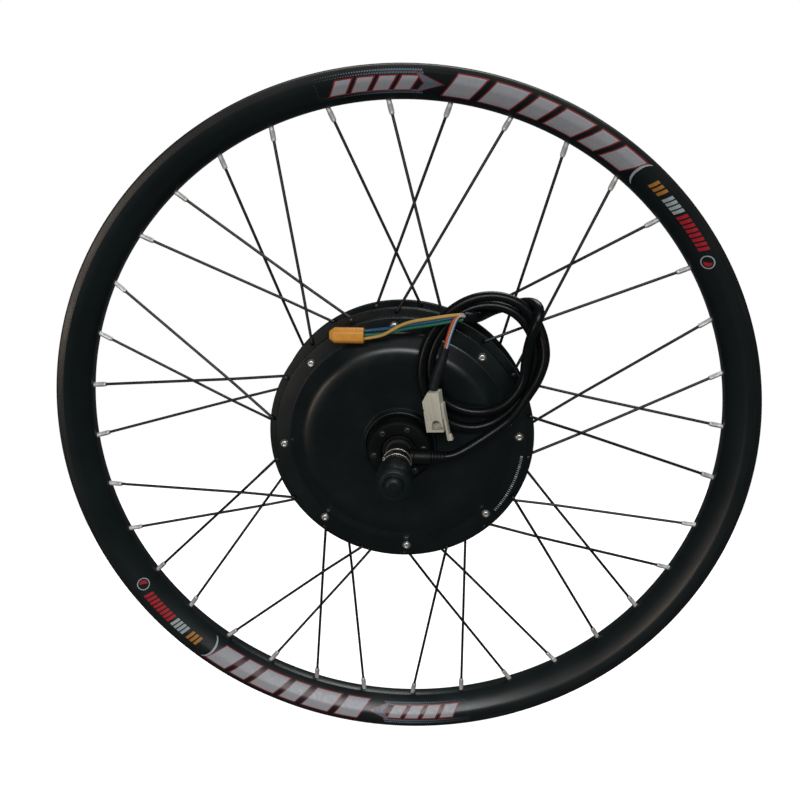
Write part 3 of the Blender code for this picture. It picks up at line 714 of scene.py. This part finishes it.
def make_sleeve():
    path = smooth_curve(SLEEVE_ROUTE, 1.2)
    count = len(path)
    radii = []
    for i in range(count):
        share = i / (count - 1)
        ripple = 0.08 * math.sin(i * 0.9)
        radii.append(3.2 + 1.15 * ease_step(share, 0.02, 0.5) + ripple - 0.5 * (share > 0.985))
    made = sweep("sensor_sleeve", path, radii, 24, SLEEVE_BLACK)
    return settle(made, "root", "rubber_black", "hall_sleeve")


def wire_cord(name, route, radius, material, slot, node):
    """One loose wire from the cable's cut end to its plug."""
    path = eased(smooth_curve(route, 2.0), 3)
    made = sweep(name, path, [radius] * len(path), 12, material)
    settle(made, "root", slot, node)


def make_cords():
    cable, path = make_cable()
    gland = make_gland()
    end_sleeve = make_jacket_end(path)
    power_plug, sensor_plug, sleeve = make_phase_plug(), make_hall_plug(), make_sleeve()
    for colour, route in (("yellow", YELLOW_ROUTE), ("green", GREEN_ROUTE), ("blue", BLUE_ROUTE)):
        wire_cord(f"phase_wire_{colour}", route, PHASE_WIRE_RADIUS, WIRES[colour], "wire_yellow",
                  "phase_wires")
    offsets = ((-2.4, 0.3, "red"), (-1.2, -1.0, "orange"), (0.1, 0.5, "yellow"), (1.2, -0.9, "white"),
               (2.4, 0.2, "sky"))
    narrow = [0.5, 1.0, 1.0, 1.0, 0.9, 0.8, 0.7, 0.6, 0.6, 0.6]
    for i, (across, front, colour) in enumerate(offsets):
        aside = Vector((across * 0.9, front, across * 0.4))
        route = [Vector(p) + aside * share for p, share in zip(HALL_ROUTE, narrow)]
        wire_cord(f"sensor_wire_{i + 1}", route, SENSOR_WIRE_RADIUS, WIRES[colour], "wire_red",
                  "hall_wires")


make_cords()


# ---- rim ----
FLANK = [(RIM_RADIUS - RIM_BAND_DEPTH, RIM_HALF_WIDTH, 0.5), (305.5, 18.8, 10.0), (296.5, 11.6, 22.0),
         (RIM_BED_RADIUS + 0.6, 5.1, 1.4), (RIM_BED_RADIUS, 2.6, 0)]


def rim_profile():
    half = RIM_HALF_WIDTH
    lip = [(RIM_RADIUS - 1.6, half - 4.0, 0.4), (RIM_RADIUS, half - 3.3, 0.7), (RIM_RADIUS, half - 0.2, 1.1),
           (RIM_RADIUS - 1.4, half, 0.6)]
    inside = [(RIM_RADIUS - 3.4, half - 3.5, 0.5), (312.0, half - 3.4, 1.5), (307.2, half - 4.0, 1.6),
              (306.6, 10.5, 3.0), (304.0, 8.0, 3.0)]
    return inside[::-1] + lip + FLANK


def make_rim():
    half = rounded([(304.0, 0, 0)] + rim_profile() + [(RIM_BED_RADIUS, 0, 0)])
    outline = mirrored(half) + half[::-1][1:-1]
    rim = lathe("rim_extrusion", outline, RIM_STEPS, RIM_BLACK, closed=True, sharp=28.0)
    spokes = 2 * SPOKES_PER_SIDE
    angles = [NEAR_HOLE_PHASE + NIPPLE_HOLE_LEAD + i * 360 / spokes for i in range(spokes)]
    drills = [(polar(RIM_BED_RADIUS - 3, a), polar(RIM_BED_RADIUS + 5.0, a)) for a in angles]
    boolean(rim, cylinders(drills, NIPPLE_HOLE_RADIUS, 20))
    rim.data.materials.append(RIM_BAND)
    for face in rim.data.polygons:
        centre = face.center / MM
        outside = math.hypot(centre.x, centre.z) > RIM_RADIUS - RIM_BAND_DEPTH
        if outside and abs(abs(centre.y) - RIM_HALF_WIDTH) < 0.1:
            face.material_index = len(rim.data.materials) - 1
    return settle(rim, "wheel", "rim_black", "rim")


# ---- spokes and nipples ----
def spoke_line(side, hole_angle, turn, head_outside):
    """The spoke's centre line in mm: through the flange, round the elbow, over the crossing."""
    inner = FLANGE_FACE - FLANGE_THICK
    outer_elbow, inner_elbow = FLANGE_FACE + 1.75, inner - 1.75
    elbow = inner_elbow if head_outside else outer_elbow
    head_face = FLANGE_FACE if head_outside else inner
    away = 1.0 if head_outside else -1.0
    nipple_angle = hole_angle + turn * SPOKE_SPREAD + NIPPLE_HOLE_LEAD
    hole, nipple = polar(SPOKE_HOLE_CIRCLE, hole_angle), polar(RIM_BED_RADIUS - 0.6, nipple_angle)
    crossing = hole.lerp(nipple, SPOKE_CROSSING)
    cross_y = (outer_elbow + inner_elbow) / 2 * (1 - SPOKE_CROSSING) + (-1.0 if head_outside else 1.0)
    crossing.y = side * cross_y
    start = Vector((hole.x, side * (head_face + away * 1.6), hole.z))
    corner = Vector((hole.x, side * elbow, hole.z))
    run = (crossing - corner).normalized()
    into = Vector((0, side * away, 0))
    arc = []
    first, last = corner + into * SPOKE_BEND, corner + run * SPOKE_BEND
    for i in range(7):
        t = i / 6
        arc.append(first.lerp(corner, t).lerp(corner.lerp(last, t), t))
    before, after = crossing - run * 12.0, crossing + (nipple - crossing).normalized() * 12.0
    sway = [before.lerp(crossing, t).lerp(crossing.lerp(after, t), t) for t in (0, 0.25, 0.5, 0.75, 1.0)]
    return [start] + arc + sway, nipple, (nipple - crossing).normalized(), into


def make_spoke(label, number, side, hole_angle, turn, head_outside, node):
    line, nipple, along, into = spoke_line(side, hole_angle, turn, head_outside)
    head_face = line[0]
    dome = [head_face + into * offset for offset in (0.55, 0.42, 0.1, -0.9, -1.35, -1.6)]
    dome_radii = [0.5, 1.35, 2.05, 2.25, 1.75, SPOKE_RADIUS]
    foot = nipple - along * 8.8
    shaft = line[1:] + [foot]
    path = dome + shaft
    radii = dome_radii + [SPOKE_RADIUS] * len(shaft)
    made = sweep(f"spoke_{label}_{number}", path, radii, 12, SPOKE_BLACK)
    settle(made, "wheel", "spoke_black", node)
    make_nipple(f"nipple_{label}_{number}", nipple, along, node)


def make_nipple(name, place, along, node):
    """A spoke nipple: round collar at the rim, square wrench flats, rounded foot round the spoke."""
    offsets = (-11.4, -11.2, -10.4, -9.6, -9.0, -3.4, -2.8, -1.4, 2.0, 3.4, 3.8, 5.2)
    radii = (1.42, 1.85, 2.1, 2.2, 2.35, 2.35, 2.15, 2.15, 2.15, 2.5, 3.0, 2.9)
    path = [place + along * offset for offset in offsets]
    made = sweep(name, path, radii, 24, NIPPLE_SILVER, flats={4: 1.75, 5: 1.75}, sharp=35.0)
    settle(made, "wheel", "spoke_black", node)


def make_spokes():
    step = 360 / SPOKES_PER_SIDE
    for side, label, phase in ((-1, "near", 0.0), (1, "far", step / 2)):
        for pair in range(SPOKES_PER_SIDE // 2):
            first = NEAR_HOLE_PHASE + phase + (2 * pair + 1) * step
            node = f"spoke_pair_{label}_{pair + 1}"
            make_spoke(label, 2 * pair + 1, side, first, 1, True, node)
            make_spoke(label, 2 * pair + 2, side, first + step, -1, False, node)


# ---- hub shell, covers and screws ----
def bolt_angles():
    return [COVER_BOLT_PHASE + i * 360 / COVER_BOLTS for i in range(COVER_BOLTS)]


def make_hub_shell():
    half = [(101.4, 18.2, 0), (119.9, 18.2, 0.2), (120.3, 17.8, 0.3), (120.3, 13.7, 0.3), (119.9, 13.2, 0.2),
            (113.6, 13.2, 2.0), (112.5, 11.0, 0.8), (112.5, 4.2, 0.3), (112.2, 3.9, 0.2), (112.2, 0.0, 0)]
    points = rounded(half)
    outline = mirrored(points) + points[::-1][1:]
    shell = lathe("motor_shell", outline, TURNED_STEPS, SHELL_BLACK, closed=True)
    step = 360 / SPOKES_PER_SIDE
    drills = []
    for side, phase in ((-1, 0.0), (1, step / 2)):
        for i in range(SPOKES_PER_SIDE):
            angle = NEAR_HOLE_PHASE + phase + i * step
            drills.append([polar(SPOKE_HOLE_CIRCLE, angle, side * y) for y in (19.2, 12.2)])
    boolean(shell, cylinders(drills, SPOKE_RADIUS + 0.45, 16))
    return settle(shell, "wheel", "hub_black", "hub_shell")


DOME = [(98.5, 18.5, 0), (113.8, 18.5, 0.3), (113.8, COVER_FACE, 0.9), (100.8, COVER_FACE, 0.5),
        (99.4, 24.8, 0.8), (87.0, 34.2, 12.0), (77.0, 34.9, 26.0), (56.0, 33.2, 50.0), (34.6, 31.6, 1.0)]


def make_near_cover():
    boss = [(32.9, 31.7, 0.3), (32.5, 36.7, 1.6), (31.0, 37.9, 0.8), (29.7, 37.3, 0.5), (28.9, 35.4, 0.4),
            (28.6, 49.8, 1.2), (26.4, DISC_FACE, 2.2), (16.2, DISC_FACE, 0.3), (15.2, 50.0, 0.3),
            (14.9, 46.0, 0), (14.9, 38.4, 0), (23.8, 38.4, 0), (23.8, 25.4, 0), (34.0, 25.4, 0),
            (84.0, 26.6, 0), (97.8, 21.2, 0)]
    points = rounded(mirrored(DOME + boss))
    cover = lathe("disc_side_cover", points, TURNED_STEPS, COVER_BLACK, closed=True, sharp=30.0)
    cover.data.materials.append(HUB_NOSE_BLACK)
    for face in cover.data.polygons:
        if math.hypot(face.center.x, face.center.z) < BOSS_RADIUS * MM:
            face.material_index = 1
    holes = [(polar(COVER_BOLT_CIRCLE, a, -17), polar(COVER_BOLT_CIRCLE, a, -26)) for a in bolt_angles()]
    boolean(cover, cylinders(holes, 2.85, 24))
    screws = [DISC_BOLT_PHASE + i * 360 / DISC_BOLTS for i in range(DISC_BOLTS)]
    wells = [[polar(DISC_BOLT_CIRCLE, a, -DISC_FACE + depth) for depth in (1.0, -1.0)] for a in screws]
    boolean(cover, cylinders(wells, 3.4, 24))
    settle(cover, "wheel", "hub_black", "near_cover")
    screw = button_screw("disc_screw", 3.7, 2.2, 1.9, BOSS_BLACK, 10.0)
    screw_ring(screw, DISC_BOLT_CIRCLE, screws, -DISC_FACE - SCREW_LIFT, -1, "hub_black",
               ["near_cover"] * DISC_BOLTS)


def make_far_cover():
    boss = [(33.0, 30.6, 1.0), (27.6, 32.6, 1.0), (26.4, 38.0, 0.8), (18.6, 38.0, 0.5), (16.2, 38.6, 0.3),
            (16.2, 40.0, 0.2)]
    for i in range(8):
        start = 40.4 + i * 1.06
        boss += [(17.35, start, 0.1), (16.5, start + 0.53, 0.1)]
    boss += [(16.4, 49.4, 0.2), (15.6, 50.0, 0.2), (11.6, 50.0, 0.3), (11.2, 49.4, 0), (11.2, 34.8, 0),
             (21.3, 34.8, 0), (21.3, 22.2, 0), (34.0, 22.2, 0), (84.0, 26.6, 0), (97.8, 21.2, 0)]
    points = rounded(DOME + boss)
    cover = lathe("freewheel_side_cover", points, TURNED_STEPS, COVER_BLACK, closed=True, sharp=30.0)
    settle(cover, "wheel", "hub_black", "far_cover")
    screw = button_screw("far_cover_screw", 4.1, 2.45, 2.0, SCREW_SILVER, 8.0)
    screw_ring(screw, COVER_BOLT_CIRCLE, bolt_angles(), COVER_FACE + 0.02, 1, "zinc_steel",
               ["far_cover"] * COVER_BOLTS)


def button_screw(name, head, height, socket, material, length):
    """A button-head screw with a hexagon socket, pointing along -Y from its seat at y = 0."""
    corners = [(0, -height, 0), (head * 0.62, -height, 1.6), (head, -0.5, 0.5), (head, 0, 0.2),
               (2.4, 0.05, 0.1), (2.4, length, 0), (0, length, 0)]
    made = lathe(name, rounded(corners), 40, material)
    key = cylinders([(Vector((0, -height - 1, 0)), Vector((0, -height + 1.5, 0)))], socket, 6)
    return boolean(made, key)


def screw_ring(pattern, circle, angles, y, side, slot, nodes):
    """Numbered copies of one screw on a bolt circle, each turned on its axis by chance."""
    turn = Matrix.Identity(4) if side < 0 else Matrix.Rotation(math.pi, 4, "Z")
    for i, (angle, node) in enumerate(zip(angles, nodes)):
        made = bpy.data.objects.new(f"{pattern.name}_{i + 1}", pattern.data)
        bpy.context.scene.collection.objects.link(made)
        spin = Matrix.Rotation(math.radians(DICE.uniform(0, 60)), 4, "Y")
        made.matrix_world = Matrix.Translation(polar(circle, angle, y) * MM) @ turn @ spin
        settle(made, "wheel", slot, node)
    bpy.data.objects.remove(pattern)


def make_cover_bolts():
    screw = button_screw("cover_screw", 4.1, 2.4, 2.0, SCREW_SILVER, 14.0)
    nodes = [f"cover_bolt_{i + 1}" for i in range(COVER_BOLTS)]
    screw_ring(screw, COVER_BOLT_CIRCLE, bolt_angles(), -COVER_FACE - SCREW_LIFT, -1, "zinc_steel", nodes)


# ---- axle and its hardware ----
def threaded(radius, y, turn):
    """A thread with two flats, on the axle's thinner ends."""
    if abs(y) < THREAD_START or radius < 5.6:
        return radius
    phase = (abs(y) / THREAD_PITCH - turn / (2 * math.pi)) % 1.0
    size = radius - 0.9 * abs(phase - 0.5)
    across = abs(math.sin(turn))
    return min(size, 5.0 / across) if across > 0.1 else size


def make_axle():
    points = [Vector((0, -108.0)), Vector((5.2, -108.0))]
    points += [Vector((6.0, -107.0 + 0.25 * i)) for i in range(155)]
    points += rounded([(6.0, -68.0, 0), (6.2, -67.6, 0), (9.4, -67.5, 0.3), (10.0, -66.9, 0.3),
                       (10.0, -52.9, 0), (11.9, -52.8, 0), (12.2, -52.4, 0), (12.2, -23.5, 0),
                       (14.0, -23.5, 0), (14.0, 20.5, 0), (9.7, 20.5, 0), (9.7, 49.0, 0), (8.6, 50.0, 0),
                       (8.6, 67.0, 0.3), (8.1, 67.5, 0.3), (6.2, 67.6, 0), (6.0, 68.0, 0)])
    points += [Vector((6.0, 68.5 + 0.25 * i)) for i in range(155)]
    points += [Vector((5.2, 108.0)), Vector((0, 108.0))]
    axle = lathe("motor_axle", points, 72, AXLE_STEEL, shape=threaded)
    boolean(axle, cylinders([(Vector((3.0, GLAND_Y, 0)), Vector((14.0, GLAND_Y, 0)))], 4.8, 24))
    return settle(axle, "root", "axle_steel", "axle")


def ring_profile(inner, outer, low, high, edge):
    return [(inner, (low + high) / 2, 0), (inner, high, edge), (outer, high, edge), (outer, low, edge),
            (inner, low, edge), (inner, (low + high) / 2, 0)]


def make_washer(name, y, thick, material, node):
    profile = rounded(ring_profile(6.35, 12.5, y - thick / 2, y + thick / 2, 0.35), 4)[:-1]
    washer = lathe(name, profile, 96, material, closed=True)
    return settle(washer, "root", "zinc_steel", node) if node else washer


def make_tab_washer(label, side):
    y = side * TAB_WASHER_Y
    washer = make_washer(f"{label}_keyed_washer", y, 2.4, WASHER_SILVER, None)
    tongue = block("tongue", (7.0, 2.4, 6.4), (0, y, -12.8), Matrix.Identity(4))
    soften(tongue, 0.3)
    boolean(washer, tongue, "UNION")
    return settle(washer, "root", "zinc_steel", f"{label}_tab_washer")


def make_nut(label, side):
    y = side * NUT_Y

    def hexagon(radius, _, turn):
        sector = (turn + math.pi / 6) % (math.pi / 3) - math.pi / 6
        flat = 9.44 / math.cos(sector)
        return min(radius, flat) if radius > 7.5 else radius

    upper = [(6.35, 5.2), (7.2, 5.25), (9.3, 5.25), (10.9, 4.3)]
    profile = [(radius, y + rise) for radius, rise in upper + mirrored(upper)[::-1]]
    nut = lathe(f"{label}_hex_nut", profile, 96, WASHER_SILVER, closed=True, shape=hexagon, sharp=25.0)
    return settle(nut, "root", "zinc_steel", f"{label}_axle_nut")


def make_cap(label, side):
    corners = [(0, 126.4, 0), (5.0, 126.4, 4.0), (8.0, 124.2, 3.0), (8.6, 121.4, 0.6), (11.2, 121.2, 1.8),
               (14.4, 118.6, 3.0), (15.1, 113.0, 8.0), (14.9, 101.0, 10.0), (13.8, 94.0, 6.0),
               (12.0, 88.4, 1.0), (11.9, 86.9, 0.3), (11.4, 86.9, 0), (11.4, 97.4, 0), (6.6, 97.4, 0),
               (6.6, 109.2, 0), (0, 109.2, 0)]
    points = rounded(corners if side > 0 else mirrored(corners), 7)
    cap = lathe(f"{label}_dome_cap", points, 96, CAP_RUBBER)
    return settle(cap, "root", "cap_rubber", f"{label}_nut_cap")


def make_hardware():
    for label, side in (("near", -1), ("far", 1)):
        make_tab_washer(label, side)
        make_washer(f"{label}_plain_washer", side * PLAIN_WASHER_Y, 2.3, WASHER_SILVER, f"{label}_nut_washer")
        make_nut(label, side)
        make_cap(label, side)


# ---- printed decoration on the near flank, in generic shapes ----
FLANK_LINE = rounded([(RIM_RADIUS - 1.0, -RIM_HALF_WIDTH, 0)] + mirrored(FLANK), 8)
FLANK_MARKS = [path_length(FLANK_LINE[:i + 1]) for i in range(1, len(FLANK_LINE))]
MEAN_RADIUS = 302.0
DEGREES_PER_MM = 180 / (math.pi * MEAN_RADIUS)
DOT_LIFT, EDGE_LIFT, MARK_LIFT, BAR_LIFT, ARC_LIFT = 0.04, 0.05, 0.08, 0.09, 0.1
WIDE_SPACING = 50.0


def flank_point(distance, degrees, lift):
    """A point on the rim's near flank, `distance` mm in from its outer edge, raised by `lift` mm."""
    left = distance
    for a, b in zip(FLANK_LINE, FLANK_LINE[1:]):
        step = (b - a).length
        if left <= step or b is FLANK_LINE[-1]:
            spot = a.lerp(b, left / step)
            slope = (b - a).normalized()
            out = Vector((slope.y, -slope.x))
            if out.y > 0:
                out = -out
            spot = spot + out * lift
            return polar(spot.x, degrees, spot.y)
        left -= step


def grown(outline, size):
    """The outline pushed out by `size` mm on every side."""
    area = sum(a[0] * b[1] - b[0] * a[1] for a, b in zip(outline, outline[1:] + outline[:1]))
    sign = 1 if area > 0 else -1
    found = []
    for before, here, after in zip(outline[-1:] + outline[:-1], outline, outline[1:] + outline[:1]):
        a, b = (Vector(here) - Vector(before)).normalized(), (Vector(after) - Vector(here)).normalized()
        na, nb = Vector((a.y, -a.x)) * sign, Vector((b.y, -b.x)) * sign
        middle = (na + nb)
        middle = middle / max(middle.length_squared / 2, 0.35)
        found.append((here[0] + middle.x * size, here[1] + middle.y * size))
    return found


def print_shapes(name, outlines, lift, material, start_angle, spacing=3.0):
    """Thin printed shapes, with outlines in mm clockwise from start_angle and mm in from the outer edge."""
    built = bmesh.new()
    for outline in outlines:
        face = built.faces.new([built.verts.new((u * MM, v * MM, 0)) for u, v in outline])
        bmesh.ops.triangulate(built, faces=[face])
    reach = max(v.co.x for v in built.verts) / MM
    cuts = [((1, 0, 0), (spacing * i, 0, 0)) for i in range(1, int(reach / spacing) + 1)]
    cuts += [((0, 1, 0), (0, depth, 0)) for depth in FLANK_MARKS]
    for normal, spot in cuts:
        geometry = built.verts[:] + built.edges[:] + built.faces[:]
        bmesh.ops.bisect_plane(built, geom=geometry, plane_co=Vector(spot) * MM, plane_no=normal)
    bmesh.ops.remove_doubles(built, verts=built.verts, dist=1e-7)
    for vert in built.verts:
        u, v = vert.co.x / MM, vert.co.y / MM
        vert.co = flank_point(v, start_angle - u * DEGREES_PER_MM, lift) * MM
    made = finished(name, built, material, 60.0)
    for face in made.data.polygons:
        if face.normal.y > 0:
            made.data.flip_normals()
            break
    return settle(made, "wheel", "rim_black")


def ellipse(u, v, half_u, half_v, sides=36):
    return [(u + half_u * math.cos(2 * math.pi * i / sides), v + half_v * math.sin(2 * math.pi * i / sides))
            for i in range(sides)]


def slanted(u, width, low, high, lean):
    return [(u + lean, low), (u + width + lean, low), (u + width, high), (u, high)]


BROAD_BARS = ((104.0, 22.0), (134.0, 26.0), (168.0, 16.0), (191.0, 25.0), (223.0, 15.0), (245.0, 21.0))
RING_PLACE, RING_DEPTH = 374.0, 15.0


def make_print(label, start):
    """One decorated stretch in plain shapes: dots, slim and broad slanted bars, an arrow, small marks."""
    slim = [slanted(12.0 + i * 17.6, 12.4, 8.6, 20.8, 7.0) for i in range(4)]
    arrow = [(82.0, 5.4), (103.0, 14.4), (82.0, 23.4), (89.0, 14.4)]
    broad = [slanted(u, width, 4.6, 24.6, 11.0) for u, width in BROAD_BARS]
    outlined = slim + [arrow] + broad
    print_shapes(f"print_edge_{label}", [grown(s, 1.1) for s in outlined], EDGE_LIFT, PRINT_RED, start)
    print_shapes(f"print_bars_{label}", slim + broad, BAR_LIFT, PRINT_SILVER, start)
    print_shapes(f"print_arrow_{label}", [arrow], BAR_LIFT, PRINT_BLUE, start)
    dots = []
    for i in range(42):
        for j in range(10):
            u, v = 2.0 + i * 2.05 + (j % 2) * 1.0, 3.9 + j * 2.2
            if j in (2, 3, 4, 5, 6, 7) and u > 4:
                continue
            size = 0.25 + 0.75 * min(1.0, u / 60)
            dots.append(ellipse(u, v, size, size, 6))
    print_shapes(f"print_dots_{label}", dots, DOT_LIFT, PRINT_BLUE, start, WIDE_SPACING)
    arc = [(-math.sin(math.radians(a)), -math.cos(math.radians(a))) for a in range(14, 170, 12)]
    crescent = [(284.0 + 9.6 * x, 15.4 + 13.2 * y) for x, y in arc]
    crescent += [(284.0 + 7.4 * x, 15.4 + 12.8 * y) for x, y in arc[::-1]]
    print_shapes(f"print_crescent_{label}", [crescent], ARC_LIFT, PRINT_WHITE, start, WIDE_SPACING)
    for word, first, count, pitch, material in (("orange", 291.0, 3, 4.8, PRINT_ORANGE),
                                                ("white", 308.0, 4, 4.4, PRINT_WHITE),
                                                ("red", 327.0, 8, 4.6, PRINT_BRIGHT_RED)):
        marks = [slanted(first + i * pitch, 3.1, 7.8, 17.2, 2.2) for i in range(count)]
        print_shapes(f"print_marks_{word}_{label}", marks, MARK_LIFT, material, start, WIDE_SPACING)
    print_ring(f"print_ring_{label}", RING_PLACE, RING_DEPTH, 6.2, 5.2, start)
    half_disc = [(RING_PLACE + 3.9 * math.cos(math.radians(a)), RING_DEPTH + 3.9 * math.sin(math.radians(a)))
                 for a in range(-60, 121, 15)]
    print_shapes(f"print_ring_fill_{label}", [half_disc], MARK_LIFT, PRINT_BRIGHT_RED, start, WIDE_SPACING)


def print_ring(name, u, v, outer, inner, start):
    built = bmesh.new()
    rings = []
    for radius in (outer, inner):
        rings.append([built.verts.new(flank_point(b, start - a * DEGREES_PER_MM, BAR_LIFT) * MM)
                      for a, b in ellipse(u, v, radius, radius, 40)])
    rings_to_faces(built, rings, False)
    made = finished(name, built, PRINT_WHITE, 60.0)
    if made.data.polygons[0].normal.y > 0:
        made.data.flip_normals()
    return settle(made, "wheel", "rim_black")


def make_hub_marks():
    """A row of small pale graduation marks on the cover's flat ring."""
    built = bmesh.new()
    for i in range(30):
        angle = -7.0 - i * 1.05
        half = 0.16 if i % 5 else 0.3
        corners = [polar(radius, angle + turn, -COVER_FACE - 0.04) * MM
                   for radius, turn in ((109.0, -half), (111.2, -half), (111.2, half), (109.0, half))]
        built.faces.new([built.verts.new(corner) for corner in corners])
    made = finished("cover_marks", built, PRINT_WHITE, 60.0)
    if made.data.polygons[0].normal.y > 0:
        made.data.flip_normals()
    settle(made, "wheel", "hub_black")


# ---- inner pieces keep their CAD shape and get finishes ----
def finish_inner_nodes():
    steel = turned_metal("bearing_ground", (0.70, 0.70, 0.72), 0.15)
    sheets = turned_metal("laminated_steel", (0.30, 0.31, 0.33), 0.45, 1.0, (4.0, 60.0, 9000.0), 0.00008)
    copper = turned_metal("winding_copper", (0.60, 0.20, 0.07), 0.32, 1.0, (900.0, 400.0, 400.0), 0.0003)
    alloy = hub_paint("carrier_cast_alloy", (0.40, 0.41, 0.42), 0.5, 0.0001)
    board = moulded("sensor_board", (0.015, 0.14, 0.05), 0.4, (0.01, 0.10, 0.035))
    finishes = {
        "near_bearing_inner": steel, "near_bearing_outer": steel, "near_bearing_balls": steel,
        "far_bearing_inner": steel, "far_bearing_outer": steel, "far_bearing_balls": steel,
        "stator_core": sheets, "windings": copper, "stator_carrier": alloy, "hall_board": board,
        "magnet_ring": turned_metal("magnet_nickel", (0.5, 0.5, 0.5), 0.3), "near_seal": GLAND_BLACK,
    }
    for node, material in finishes.items():
        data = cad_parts[node].data
        if not data.materials:
            data.materials.append(material)
        for i in range(len(data.materials)):
            data.materials[i] = material


make_rim()
make_spokes()
make_hub_shell()
make_near_cover()
make_far_cover()
make_cover_bolts()
make_axle()
make_hardware()
make_print("top", 103.4)
make_print("bottom", 283.4)
make_hub_marks()
finish_inner_nodes()


# ---- floor and light ----
def make_stage():
    built = bmesh.new()
    bmesh.ops.create_grid(built, x_segments=1, y_segments=1, size=0.5,
                          matrix=Matrix.Translation((0, 0.1, -(RIM_RADIUS + 0.4) * MM)))
    floor = finished("floor", built, None)
    pale = bpy.data.materials.new("floor_pale")
    pale.use_nodes = True
    shader = pale.node_tree.nodes["Principled BSDF"]
    shader.inputs["Base Color"].default_value = (0.94, 0.94, 0.94, 1)
    shader.inputs["Roughness"].default_value = 0.9
    shader.inputs["Emission Color"].default_value = (1, 1, 1, 1)
    shader.inputs["Emission Strength"].default_value = 0.85
    floor.data.materials.append(pale)
    floor.visible_glossy = False
    floor.visible_diffuse = False


def make_light(name, location, target, power, size, size_y, colour=(1.0, 1.0, 1.0)):
    data = bpy.data.lights.new(name, "AREA")
    data.energy = power
    data.color = colour
    data.shape = "RECTANGLE"
    data.size = size
    data.size_y = size_y
    lamp = bpy.data.objects.new(name, data)
    bpy.context.scene.collection.objects.link(lamp)
    lamp.location = location
    lamp.visible_camera = False
    lamp.rotation_euler = (Vector(target) - Vector(location)).to_track_quat("-Z", "Y").to_euler()


def make_world():
    """A white surround to look at, which lights the wheel much more dimly."""
    world = bpy.data.worlds.new("studio")
    bpy.context.scene.world = world
    world.use_nodes = True
    nodes, links = world.node_tree.nodes, world.node_tree.links
    seen, felt = nodes["Background"], nodes.new("ShaderNodeBackground")
    seen.inputs["Color"].default_value = (1, 1, 1, 1)
    seen.inputs["Strength"].default_value = 1.0
    felt.inputs["Color"].default_value = (0.92, 0.97, 1, 1)
    felt.inputs["Strength"].default_value = 0.09
    mix = nodes.new("ShaderNodeMixShader")
    links.new(nodes.new("ShaderNodeLightPath").outputs["Is Camera Ray"], mix.inputs[0])
    links.new(felt.outputs[0], mix.inputs[1])
    links.new(seen.outputs[0], mix.inputs[2])
    links.new(mix.outputs[0], nodes["World Output"].inputs[0])


def make_lights():
    make_world()
    make_light("key_front", (0.15, -2.6, 1.5), (0, 0, 0), 48.0, 2.2, 0.55)
    make_light("back_above", (0.3, 0.9, 1.3), (0, 0, 0), 12.0, 1.0, 0.6)
    make_light("side_left", (-0.88, -1.38, -0.08), (-0.28, -0.02, 0.14), 3.0, 0.3, 0.34, (1.0, 0.84, 0.72))


make_stage()
make_lights()
bpy.context.scene.view_settings.view_transform = "Standard"
